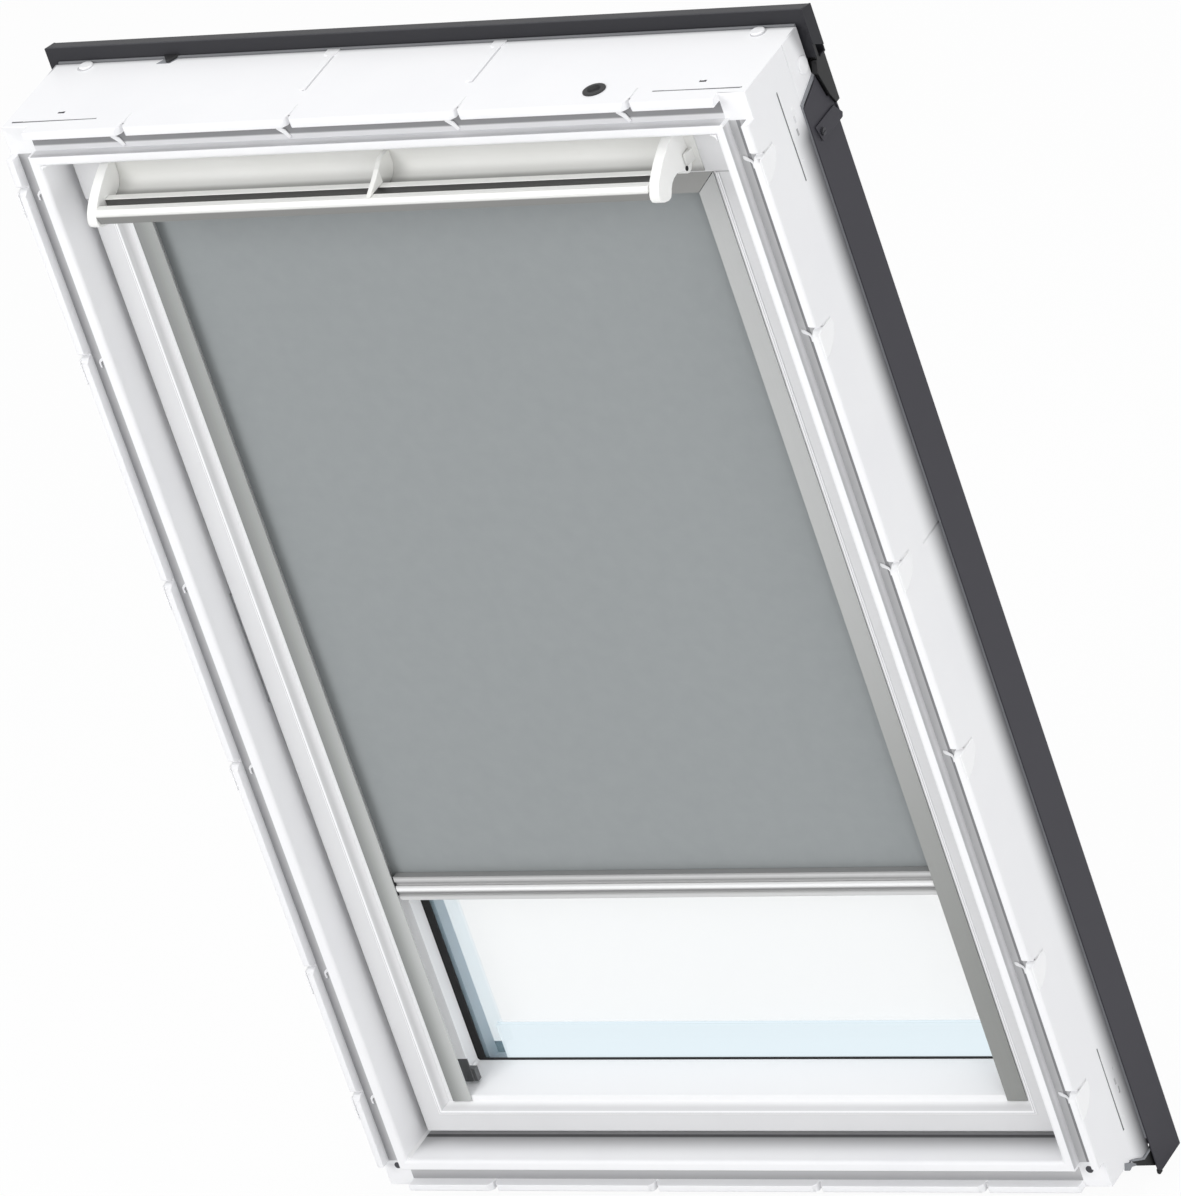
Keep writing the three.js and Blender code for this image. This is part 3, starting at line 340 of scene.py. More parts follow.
# A colour as it is named on screen, from 0 to 255, in the renderer's own values
def tone(red, green, blue):
    def straight(value):
        share = value / 255
        return share / 12.92 if share <= 0.04045 else ((share + 0.055) / 1.055) ** 2.4
    return (straight(red), straight(green), straight(blue), 1.0)


def finishNamed(name):
    made = bpy.data.materials.new(name)
    made.use_nodes = True
    return made, Shop(made.node_tree)


def closeFinish(shop, values):
    surface = shop.node("ShaderNodeBsdfPrincipled", None, values)
    shop.node("ShaderNodeOutputMaterial", None, {"Surface": surface})


# Outlines, in metres, that the painted patterns follow: the frame's and the sash's
outside = {
    "halfWidth": 0.39, "height": 1.178, "tabWall": 0.008, "lipStart": 0.0256, "corner": 0.028, "sill": 0.036,
    "sashHalf": 0.344, "sashFoot": 0.046, "slack": 0.0003, "skin": 0.0016,
}


# Painted white skin: fine moulded grain, a little uneven in gloss, over a colour that may vary; it hands back the
# colour and the other values of the surface
def whiteSkin(shop, clean, dull, skin=0.00002):
    cloud = shop.noise(9.0, 4.0)
    grain = shop.noise(1400.0, 2.0)
    dimples = shop.noise(260.0, 3.0)
    values = {
        "Roughness": 0.36 + cloud * 0.1 + grain * 0.06,
        "Specular IOR Level": 0.4,
        "Normal": shop.bump(grain * 0.4 + dimples, skin),
    }
    return shop.mix(((cloud - 0.35) * 2.2).most(0.0).least(1.0), clean, dull), values


# Floor of the lining groove, painted greyer: painted shade beside the tabs, painted light and shade at the head, and
# a painted shadow under the tabs on the right
def grooveTone(shop, look, x, inSide, inEnd, fromHead):
    inset = inSide.least(inEnd)
    besideTabShade = inset.rise(outside["tabWall"], outside["tabWall"] + look["grooveShade"])
    atHead = fromHead.below(outside["lipStart"] + outside["slack"])
    headTone = shop.mix(inset.rise(*look["headShade"]), look["headDark"], look["headLit"])
    floorTone = shop.mix(atHead, shop.mix(besideTabShade, look["grooveDark"], look["groove"]), headTone)
    underTab = x.above(0.0) * inSide.within(*look["underTab"]) * inSide.below(inEnd)
    return shop.mix(underTab, floorTone, look["headDark"])


# Frame: the floor of the lining groove is painted greyer, and the outer face greys towards its covers with painted
# shade
def frameWhite(name, look):
    made, shop = finishNamed(name)
    colour, values = whiteSkin(shop, look["clean"], look["dull"])
    x, y, z = shop.axes()
    inSide = outside["halfWidth"] - x.size()
    fromHead = outside["height"] - z
    inEnd = z.least(fromHead)
    inset = inSide.least(inEnd)
    straight = 1.0 - inSide.below(outside["corner"]) * inEnd.below(outside["corner"])
    trough = inset.within(outside["tabWall"] - outside["slack"], outside["lipStart"] + outside["slack"])
    floor = trough * y.size().below(look["floorReach"]) * straight
    colour = shop.mix(floor, colour, grooveTone(shop, look, x, inSide, inEnd, fromHead))
    # Painted shade on the outer wall of the lip
    lipWall = inset.near(outside["lipStart"], look["lipReach"]) * y.below(look["lipBack"]) * straight
    colour = shop.mix(lipWall * y.rise(*look["lipFade"]).most(look["lipLeast"]), colour, look["lipWall"])
    # Painted shade on the sill, darker the deeper it runs, and a band of painted shadow where it runs into the gap
    # behind the sash's edge
    sill = z.near(outside["sill"], look["sillReach"]) * x.size().below(outside["halfWidth"] - outside["sill"])
    colour = shop.mix(sill * y.rise(*look["sillFade"]) * look["sillShare"], colour, look["sillShade"])
    gap = y.rise(*look["gapFront"]) * (1.0 - y.rise(*look["gapBack"]))
    colour = shop.mix(sill * gap * look["gapShare"], colour, look["gap"])
    # Painted shade on the outer faces: towards the covers below the head block, on the head block's side, and on the
    # head's top towards the hood
    side = inSide.below(outside["skin"])
    top = fromHead.below(outside["skin"])
    flank = side * z.below(look["blockFoot"]) * y.rise(*look["flankFade"]) * (1.0 - z.rise(*look["flankHead"]))
    slant = (y + z * look["blockSlope"]).rise(*look["blockFade"])
    block = side * z.above(look["blockFoot"]) * slant * look["blockShare"]
    head = top * y.rise(*look["headFade"]) * look["headShare"]
    colour = shop.mix(flank.most(head).most(block), colour, look["back"])
    # Painted shade in the slits of the head's top and of the sides
    headSlit = top * y.near(look["headSlitDepth"], look["slitHalf"]) * inSide.within(*look["headSlit"])
    sideSlit = side * y.near(look["sideSlitDepth"], look["slitHalf"]) * inEnd.within(*look["sideSlit"])
    colour = shop.mix(headSlit.most(sideSlit), colour, look["slit"])
    mark = fromHead.below(look["markReach"]) * y.near(*look["markDepth"]) * inSide.near(*look["markSide"])
    values["Base Color"] = shop.mix(mark, colour, look["mark"])
    closeFinish(shop, values)
    return made


# Sash: its face is painted a little greyer than the reveal round the glass; its raised bead is painted as bright as
# the reveal, a painted highlight, with a thin line of painted shade along it
def sashWhite(name, look):
    made, shop = finishNamed(name)
    colour, values = whiteSkin(shop, look["face"], look["dull"])
    x, y, z = shop.axes()
    bead = y.below(look["beadDepth"])
    inner = y.rise(look["faceDepth"], look["revealDepth"]).most(bead)
    inset = (outside["sashHalf"] - x.size()).least(z - outside["sashFoot"])
    crease = bead * inset.near(look["crease"], look["creaseHalf"])
    colour = shop.mix(inner, colour, look["reveal"])
    values["Base Color"] = shop.mix(crease, colour, look["creaseTone"])
    closeFinish(shop, values)
    return made


# Trim of the flap: warm white, with painted shade down into the foot of its cove
def trimWhite(name, look):
    made, shop = finishNamed(name)
    colour, values = whiteSkin(shop, look["clean"], look["dull"], 0.00001)
    y, z = shop.axes()[1:]
    climb = z * look["climbUp"] + y * look["climbBack"] - look["coveFoot"]
    inCove = y.above(look["coveFront"])
    for reach, share in look["shades"]:
        colour = shop.mix((1.0 - climb.rise(0.0, reach)) * inCove * share, colour, look["cove"])
    values["Base Color"] = colour
    closeFinish(shop, values)
    return made


# How deep the drawing lines of the profiles are, in metres
lineDepth = 0.000012


# Anodised aluminium, with drawing lines along one axis and a slow change of tone along it
def drawnMetal(name, base, light, along, metal=0.75):
    made, shop = finishNamed(name)
    lines = shop.lines(along)
    broad = shop.noise(5.0, 2.0)
    closeFinish(shop, {
        "Base Color": shop.mix(lines * 0.55 + broad * 0.4, base, light),
        "Metallic": metal,
        "Roughness": 0.3 + lines * 0.14,
        "Normal": shop.bump(lines, lineDepth),
    })
    return made


# Side channels: their fronts carry painted shade and reflection across and along, unlike on the left and the right,
# and inside they are painted as white as the sash
def channelSilver(name, look):
    made, shop = finishNamed(name)
    x, y, z = shop.axes()
    lines = shop.lines("z")
    inward = x.size().rise(look["outer"], look["inner"])
    low = 1.0 - z.rise(look["low"], look["high"])
    left = shop.mix(inward, look["leftOuter"], shop.mix(low, look["leftInner"], look["leftFoot"]))
    right = shop.mix(low, look["right"], look["rightFoot"])
    front = shop.mix(x.above(0.0), left, right)
    inside = y.above(look["depth"])
    bracket = y.above(look["bracketDepth"]) * z.below(look["bracketTop"])
    colour = shop.mix(inside, shop.mix(lines * 0.25, front, look["sheen"]), look["white"])
    closeFinish(shop, {
        "Base Color": shop.mix(bracket, colour, look["bracket"]),
        "Metallic": (1.0 - inside) * 0.35 + bracket * 0.5,
        "Roughness": 0.34 + lines * 0.12,
        "Normal": shop.bump(lines, lineDepth),
    })
    return made


# Control bar: bright rails on both sides of a finger slot in painted shade, over a lower front painted darker as
# painted shade
def controlSilver(name, look):
    made, shop = finishNamed(name)
    y, z = shop.axes()[1:]
    lines = shop.lines("x")
    slot = y.within(look["slotFront"], look["slotBack"]) * z.below(look["slotTop"])
    slotTone = shop.mix(z.rise(look["slotFoot"], look["slotTop"]), look["slotLow"], look["slot"])
    front = y.below(look["lipBack"]) * (1.0 - z.rise(*look["frontFade"]))
    colour = shop.mix(front, shop.mix(lines * 0.3, look["rail"], look["sheen"]), look["front"])
    closeFinish(shop, {
        "Base Color": shop.mix(slot, colour, slotTone),
        "Metallic": 0.3,
        "Roughness": 0.3 + lines * 0.14,
        "Normal": shop.bump(lines, lineDepth),
    })
    return made


# Blind's bottom bar: painted highlights and painted shade in bands along its rolled grooves, told by height
def bandedSilver(name, look):
    made, shop = finishNamed(name)
    z = shop.axes()[2]
    lines = shop.lines("x")
    tall = look["head"] - look["foot"]
    stops = [((height - look["foot"]) / tall, tone(grey, grey, grey)) for height, grey in look["bands"]]
    bands = shop.node("ShaderNodeValToRGB", {"stops": stops}, {0: (z - look["foot"]) / tall})
    closeFinish(shop, {
        "Base Color": shop.mix(lines * 0.15, bands, look["sheen"]),
        "Metallic": 0.25,
        "Roughness": 0.34 + lines * 0.12,
        "Normal": shop.bump(lines, lineDepth),
    })
    return made


# Lacquered sheet: a fine leathery coat with a dull sheen
def lacqueredSheet(name, base, worn, hood):
    made, shop = finishNamed(name)
    coat = shop.noise(2200.0, 2.0)
    cloud = shop.noise(6.0, 5.0, 0.6)
    y, z = shop.axes()[1:]
    colour = shop.mix((cloud - 0.3) * 1.8, base, worn)
    # Above its foot the hood is painted darker than the covers, and its top carries a painted highlight at the front
    # that fades to painted shade at the back
    top = shop.mix(y.rise(hood["front"], hood["back"]), hood["bright"], hood["dark"])
    colour = shop.mix(z.above(hood["foot"]), colour, shop.mix(z.above(hood["top"]), hood["tone"], top))
    closeFinish(shop, {
        "Base Color": colour,
        "Roughness": 0.46 + cloud * 0.12 + z.above(hood["top"]) * 0.2,
        "Metallic": 0.1,
        "Specular IOR Level": 0.3,
        "Normal": shop.bump(coat, 0.00003),
    })
    return made


# Moulded plastic or rubber
def mouldedFinish(name, base, light, roughness, skin):
    made, shop = finishNamed(name)
    grain = shop.noise(1800.0, 3.0)
    cloud = shop.noise(14.0, 4.0)
    closeFinish(shop, {
        "Base Color": shop.mix(cloud, base, light),
        "Roughness": roughness + grain * 0.12,
        "Normal": shop.bump(grain, skin),
    })
    return made


# Zinc plated steel, with faint cloudy crystals
def platedSteel(name, base, light):
    made, shop = finishNamed(name)
    crystals = shop.node(
        "ShaderNodeTexVoronoi", {"feature": "F1"}, {"Vector": shop.place(), "Scale": 420.0}, out="Color",
    )
    shade = shop.node("ShaderNodeRGBToBW", None, {0: crystals})
    lines = shop.noise(900.0, 3.0)
    closeFinish(shop, {
        "Base Color": shop.mix(shade * 0.5 + lines * 0.4, base, light),
        "Metallic": 0.9,
        "Roughness": 0.3 + shade * 0.12,
        "Normal": shop.bump(lines, 0.000015),
    })
    return made


# Glass: nearly all light passes, and the shine grows towards a grazing look
def closeGlass(shop, alpha, values):
    streak = shop.noise(4.0, 2.0)
    shine = shop.node("ShaderNodeFresnel", None, {"IOR": 1.45})
    values["Roughness"] = 0.02 + streak * 0.02
    values["Alpha"] = (shine * 0.14 + alpha).least(1.0)
    values["Specular IOR Level"] = 0.5
    closeFinish(shop, values)


def clearPane(name, tint, alpha):
    made, shop = finishNamed(name)
    closeGlass(shop, alpha, {"Base Color": tint})
    return made


# Inner pane: a pale blue band of painted reflection runs round the clear field, and along the foot the pane is
# painted nearly opaque with painted light glowing from it
def bandedPane(name, look):
    made, shop = finishNamed(name)
    x, y, z = shop.axes()
    across = x.size()
    side = across.rise(look["side"] - look["soft"], look["side"] + look["soft"])
    low = 1.0 - z.rise(look["foot"] - look["soft"], look["foot"] + look["soft"])
    foot = low * across.below(look["spacer"])
    rim = side.most(low).most(z.above(look["head"]))
    closeGlass(shop, rim * look["rimAlpha"] + foot * look["footAlpha"] + look["alpha"], {
        "Base Color": shop.mix(foot, shop.mix(rim, look["tint"], look["band"]), look["shade"]),
        "Emission Color": shop.mix(foot, tone(0, 0, 0), look["glow"]),
        "Emission Strength": 1.0,
    })
    return made


# Woven blackout cloth, on the cloth's own map: warp and weft threads with a dull coat
def wovenCloth(name, size):
    made, shop = finishNamed(name)
    flat = shop.node("ShaderNodeUVMap", {"uv_map": "weave"})
    across, along = shop.split(flat)[:2]
    turn = 2 * math.pi / weave["pitch"]
    warp = shop.node("ShaderNodeMath", {"operation": "SINE"}, {0: across * (size[0] * turn)})
    weft = shop.node("ShaderNodeMath", {"operation": "SINE"}, {0: along * (size[1] * turn)})
    threads = (warp * weft) * 0.5 + 0.5
    slub = shop.node(
        "ShaderNodeTexNoise", None,
        {"Vector": shop.node("ShaderNodeMapping", None, {"Vector": flat, "Scale": (size[0], size[1], 1)}),
         "Scale": 60.0, "Detail": 4.0},
    )
    closeFinish(shop, {
        "Base Color": shop.mix(threads * 0.35 + slub * 0.5, weave["thread"], weave["light"]),
        "Roughness": 0.72 + threads * 0.1,
        "Sheen Weight": 0.15,
        "Sheen Roughness": 0.5,
        "Normal": shop.bump(threads + slub * 0.4, 0.00004, 0.6),
    })
    return made


# The blind's cloth: the drop in front of the roller, and the strip that is still wound on it
weave = {"pitch": 0.0007, "thread": tone(139, 144, 145), "light": tone(153, 157, 158)}
cloth = {"halfWidth": 0.294, "top": 1.079, "foot": 0.3253, "back": 0.042, "thick": 0.0006, "columns": 12}
roll = {
    "back": 0.0546, "height": 1.079, "radius": 0.012, "turns": 2.85, "rows": 137, "thickShare": 0.9, "length": 0.1996,
}
clothSize = (2 * cloth["halfWidth"], cloth["top"] - cloth["foot"])
rollSize = (2 * cloth["halfWidth"], roll["length"])

hoodLook = {
    "foot": 1.1405, "top": 1.1931, "front": 0.1148, "back": 0.13, "tone": tone(42, 42, 46),
    "bright": tone(62, 62, 66), "dark": tone(20, 20, 23), "roundedHalf": 0.396,
}

finishes = {
    "white_frame": frameWhite("frameWhite", {
        "clean": tone(247, 247, 248), "dull": tone(243, 243, 245),
        "groove": tone(200, 200, 201), "grooveDark": tone(168, 168, 170), "grooveShade": 0.011, "floorReach": 0.0009,
        "headDark": tone(142, 142, 144), "headLit": tone(228, 228, 230), "headShade": (0.0192, 0.0214),
        "underTab": (0.0145, 0.0182),
        "lipWall": tone(196, 196, 198), "lipReach": 0.0004, "lipBack": -0.0006, "lipFade": (0.0, -0.012),
        "lipLeast": 0.45,
        "sillShade": tone(132, 132, 134), "sillReach": 0.0008, "sillFade": (-0.005, 0.03), "sillShare": 0.6,
        "gap": tone(70, 70, 72), "gapFront": (0.0265, 0.0285), "gapBack": (0.0315, 0.033), "gapShare": 0.85,
        "back": tone(100, 100, 103), "flankFade": (0.045, 0.082), "flankHead": (1.082, 1.114),
        "blockFoot": 1.116, "blockSlope": 0.34, "blockFade": (0.489, 0.505), "blockShare": 0.55,
        "headFade": (0.106, 0.113), "headShare": 0.5,
        "slit": tone(120, 120, 122), "slitHalf": 0.0009, "headSlit": (0.0068, 0.0982), "headSlitDepth": 0.009,
        "sideSlit": (0.0298, 0.1212), "sideSlitDepth": 0.0485,
        "mark": tone(90, 90, 92), "markReach": 0.0035, "markDepth": (0.023, 0.0016), "markSide": (0.053, 0.0036),
    }),
    "white_sash": sashWhite("sashWhite", {
        "face": tone(224, 224, 225), "dull": tone(220, 220, 221), "reveal": tone(249, 249, 250),
        "faceDepth": 0.0235, "revealDepth": 0.0325, "beadDepth": 0.0211, "crease": 0.0226, "creaseHalf": 0.00045,
        "creaseTone": tone(206, 206, 208),
    }),
    # Grey of the socket sheets: painted shade of square holes
    "socket_grey": mouldedFinish("socketGrey", tone(168, 168, 170), tone(178, 178, 180), 0.6, 0.00001),
    "shade_white": mouldedFinish("shadeWhite", tone(196, 196, 198), tone(204, 204, 206), 0.6, 0.00001),
    # A white a little brighter than the frame's, for fillets, lobes and bends: painted highlight
    "fillet_white": mouldedFinish("filletWhite", tone(253, 253, 253), tone(251, 251, 252), 0.3, 0.00001),
    "white_trim": trimWhite("trimWhite", {
        "clean": tone(238, 238, 235), "dull": tone(233, 233, 229), "cove": tone(120, 120, 118),
        "coveFoot": 0.926, "coveFront": -0.0162, "climbUp": 0.84, "climbBack": 0.55,
        "shades": [(0.02, 0.3), (0.006, 0.65)],
    }),
    # The flap's cheeks are painted brighter than its trim: painted light
    "cheek_white": mouldedFinish("cheekWhite", tone(247, 247, 245), tone(245, 245, 242), 0.35, 0.00001),
    "channel": channelSilver("channelSilver", {
        "outer": 0.3104, "inner": 0.2892, "low": 0.15, "high": 0.78, "depth": 0.0329,
        "leftOuter": tone(138, 140, 138), "leftInner": tone(166, 168, 166), "leftFoot": tone(198, 200, 198),
        "right": tone(192, 193, 192), "rightFoot": tone(146, 147, 144), "sheen": tone(176, 177, 176),
        "white": tone(246, 246, 247), "bracket": tone(104, 105, 106), "bracketDepth": 0.0455, "bracketTop": 0.1135,
    }),
    # The casing's silver is painted darker than the roller's: painted shade
    "casing": drawnMetal("casingSilver", tone(146, 146, 144), tone(158, 158, 156), "x"),
    "roller": drawnMetal("rollerSilver", tone(196, 196, 193), tone(220, 220, 218), "x"),
    "control": controlSilver("controlSilver", {
        "rail": tone(238, 238, 235), "sheen": tone(226, 226, 224), "front": tone(134, 134, 132),
        "slot": tone(100, 100, 99), "slotLow": tone(140, 140, 138), "slotFoot": 1.104,
        "slotFront": -0.0357, "slotBack": -0.0238, "slotTop": 1.1114,
        "lipBack": -0.0385, "frontFade": (1.1054, 1.1072),
    }),
    "bar": bandedSilver("barSilver", {
        "foot": 0.304, "head": 0.3303, "sheen": tone(206, 206, 204),
        "bands": [
            (0.3040, 204), (0.3070, 210), (0.3093, 166), (0.3115, 120), (0.3139, 194), (0.3158, 255), (0.3176, 252),
            (0.3195, 190), (0.3223, 152), (0.3250, 180), (0.3275, 208), (0.3296, 164), (0.3303, 146),
        ],
    }),
    "dark_cover": lacqueredSheet("coverGrey", tone(60, 59, 65), tone(65, 64, 70), hoodLook),
    "black_plastic": mouldedFinish("blackMoulding", tone(22, 22, 24), tone(32, 32, 34), 0.5, 0.00003),
    "gloss_black": mouldedFinish("glossMoulding", tone(5, 5, 6), tone(9, 9, 10), 0.3, 0.00001),
    "steel_fitting": platedSteel("platedSteel", tone(150, 151, 154), tone(186, 187, 189)),
    "dark_screw": platedSteel("darkScrew", tone(74, 74, 78), tone(96, 96, 100)),
    "grey_seal": mouldedFinish("greyRubber", tone(132, 134, 138), tone(146, 148, 152), 0.7, 0.00003),
    "soft_seal": mouldedFinish("softRubber", tone(112, 113, 116), tone(122, 123, 126), 0.7, 0.00002),
    "black_seal": mouldedFinish("blackRubber", tone(10, 10, 11), tone(20, 20, 21), 0.6, 0.00002),
    "inner_glass": bandedPane("innerGlass", {
        "tint": tone(244, 251, 253), "band": tone(198, 236, 250), "shade": tone(60, 64, 66),
        "glow": tone(219, 231, 237), "alpha": 0.004, "rimAlpha": 0.1, "footAlpha": 0.76,
        "side": 0.262, "foot": 0.1295, "head": 1.058, "soft": 0.0008, "spacer": 0.268,
    }),
    "clear_glass": clearPane("outerGlass", tone(246, 251, 253), 0.004),
    "spacer": drawnMetal("spacerSilver", tone(184, 187, 194), tone(200, 203, 210), "z", 0.15),
    "blackout_fabric": wovenCloth("blackoutCloth", clothSize),
    "rolled_fabric": wovenCloth("rolledCloth", rollSize),
}
print("finishes:", len(finishes))


# Finish of each CAD node, its edge rounding in metres and the record's slot

nodeGroups = [
    (["frame_top", "frame_bottom", "frame_left", "frame_right"], "white_frame", "white_frame", 0.0008),
    (["sash_top", "sash_bottom", "sash_left", "sash_right"], "white_sash", "white_frame", 0.0006),
    (["ventilation_flap", "centre_bracket"], "white_trim", "white_trim", 0.0005),
    (["flap_cheek_left", "flap_cheek_right"], "cheek_white", "white_trim", 0.0005),
    (["side_channel_left", "side_channel_right"], "channel", "silver_profile", 0.0003),
    (["control_bar"], "control", "silver_profile", 0.0004),
    (["blind_bar"], "bar", "silver_profile", 0.0003),
    (["roller_tube"], "roller", "silver_profile", 0.0003),
    (["blind_casing"], "casing", "silver_profile", 0.0003),
    (["top_hood", "frame_cover_left", "frame_cover_right", "frame_apron", "cover_clip_left", "cover_clip_right",
      "sash_cover_top", "sash_cover_bottom", "sash_cover_left", "sash_cover_right"],
     "dark_cover", "dark_cover", 0.0005),
    (["cable_grommet", "bolt_bush_upper", "bolt_bush_lower", "casing_end_left", "casing_end_right",
      "roller_plug_left", "roller_plug_right", "blind_slider_left", "blind_slider_right"],
     "black_plastic", "black_plastic", 0.0004),
    (["hood_end_left", "hood_end_right"], "gloss_black", "black_plastic", 0.0006),
    (["cover_screw_left", "cover_screw_right"], "dark_screw", "steel_fitting", 0.0003),
    (["hinge_plate_left", "hinge_plate_right", "hinge_arm_left", "hinge_arm_right", "lock_case", "lock_tongue",
      "strike_plate", "cleaning_bolt"], "steel_fitting", "steel_fitting", 0.0003),
    (["frame_weather_strip", "head_weather_strip", "vent_filter"], "grey_seal", "grey_seal", 0.0004),
    (["glazing_seal"], "black_seal", "black_seal", 0.0002),
    (["glass_inner"], "inner_glass", "clear_glass", 0.0003),
    (["glass_outer"], "clear_glass", "clear_glass", 0.0003),
    (["glass_spacer"], "spacer", "spacer", 0.0002),
]
bodyOf = {node: body for body, nodes in frame["record"]["behaviour"]["bodies"].items() for node in nodes}
for nodes, finish, slot, edge in nodeGroups:
    for node in nodes:
        piece = copyOfNode(node)
        rectangle = node.split("_")[0]
        if finish in ("white_frame", "white_sash"):
            closeMitres(piece, rectangle, 0 if node.endswith(("top", "bottom")) else 2)
            roundEdges(piece, edge, where=lambda middle: not onMitre(middle, rectangle))
        elif node == "top_hood":
            roundEdges(piece, edge, where=lambda middle: abs(middle.x) < hoodLook["roundedHalf"])
        else:
            roundEdges(piece, edge)
        smoothShade(piece)
        paintPiece(piece, finishes[finish])
        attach(piece, bodyOf[node])
        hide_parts(node)
print("dressed nodes:", sum(len(group[0]) for group in nodeGroups))


def thicken(piece, thick):
    thickness = piece.modifiers.new("thickness", "SOLIDIFY")
    thickness.thickness = thick
    thickness.offset = 0
    bpy.ops.object.modifier_apply(modifier=thickness.name)


# The drop: a flat sheet with points only at its head and its foot
def makeCloth():
    clearSelection()
    middle = (cloth["top"] + cloth["foot"]) / 2
    bpy.ops.mesh.primitive_plane_add(size=1, location=(0, cloth["back"], middle), rotation=(math.pi / 2, 0, 0))
    piece = bpy.context.object
    piece.name = "blind_cloth"
    bpy.ops.transform.resize(value=(2 * cloth["halfWidth"], 1, cloth["top"] - cloth["foot"]))
    bpy.ops.object.transform_apply(location=True, rotation=True, scale=True)
    piece.data.uv_layers[0].name = "weave"
    editMode(piece)
    for column in range(1, cloth["columns"]):
        bpy.ops.mesh.select_all(action="SELECT")
        across = cloth["halfWidth"] * (2 * column / cloth["columns"] - 1)
        bpy.ops.mesh.bisect(plane_co=(across, 0, 0), plane_no=(1, 0, 0))
    bpy.ops.mesh.select_all(action="SELECT")
    bpy.ops.mesh.normals_make_consistent(inside=False)
    objectMode()
    thicken(piece, cloth["thick"])
    return piece


blindCloth = makeCloth()
paintPiece(blindCloth, finishes["blackout_fabric"])
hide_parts("blind_fabric")
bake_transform(blindCloth)
print("cloth made")


# The rest of the cloth, wound on its tube: a strip laid out as one spiral, from its free end inwards
def makeRoll():
    clearSelection()
    bpy.ops.mesh.primitive_grid_add(x_subdivisions=6, y_subdivisions=roll["rows"], size=2)
    piece = bpy.context.object
    piece.name = "cloth_on_roll"
    piece.data.uv_layers[0].name = "weave"
    editMode(piece)
    shape = bmesh.from_edit_mesh(piece.data)
    for vert in shape.verts:
        turned = (vert.co.y + 1) / 2 * roll["turns"]
        radius = roll["radius"] - cloth["thick"] * turned
        angle = 2 * math.pi * turned
        vert.co = (
            vert.co.x * cloth["halfWidth"],
            roll["back"] - radius * math.cos(angle), roll["height"] + radius * math.sin(angle),
        )
    bmesh.update_edit_mesh(piece.data)
    bpy.ops.mesh.normals_make_consistent(inside=False)
    objectMode()
    thicken(piece, cloth["thick"] * roll["thickShare"])
    makeActive(piece)
    bpy.ops.object.shade_smooth_by_angle(angle=math.radians(limits["smooth"]))
    return piece


clothOnRoll = makeRoll()
paintPiece(clothOnRoll, finishes["rolled_fabric"])
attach(clothOnRoll, "roller")
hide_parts("fabric_roll")


# Cuts a plate and its moved copies, adds the left twins of a paired one, and finishes them all on their body
def addPlates(name, plate):
    pieces = [cutPlate(name, plate)]
    for other, shift in plate.get("more", {}).items():
        pieces.append(copyOfPiece(pieces[0], other, shift))
    if plate.get("paired", True):
        pieces += [copyOfPiece(piece, piece.name.replace("right", "left"), mirrored=True) for piece in pieces]
    for piece in pieces:
        smoothShade(piece)
        paintPiece(piece, finishes[plate["finish"]])
        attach(piece, plate.get("body", "frame"))
    return pieces


# Names of a plate's copies, counted from the second one, with their shifts from the first
def copiesAt(pattern, spots):
    shifts = [[there - here for there, here in zip(spot, spots[0])] for spot in spots[1:]]
    return {pattern % (number + 2): shift for number, shift in enumerate(shifts)}


# Bearings of the flap: wedges that grow out of the sash's face, on seat plates, with the pin's dark eye

wedge = {
    "across": "z", "low": 1.1005, "high": 1.1125, "rim": 0.0008,
    "body": "sash", "finish": "white_trim", "slot": "white_trim",
    "outline": [(0.3003, 0.008), (0.3022, 0.0085), (0.304, 0.015), (0.3052, 0.0212), (0.3003, 0.0212)],
}
for piece in addPlates("bearing_right", wedge):
    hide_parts("flap_" + piece.name)

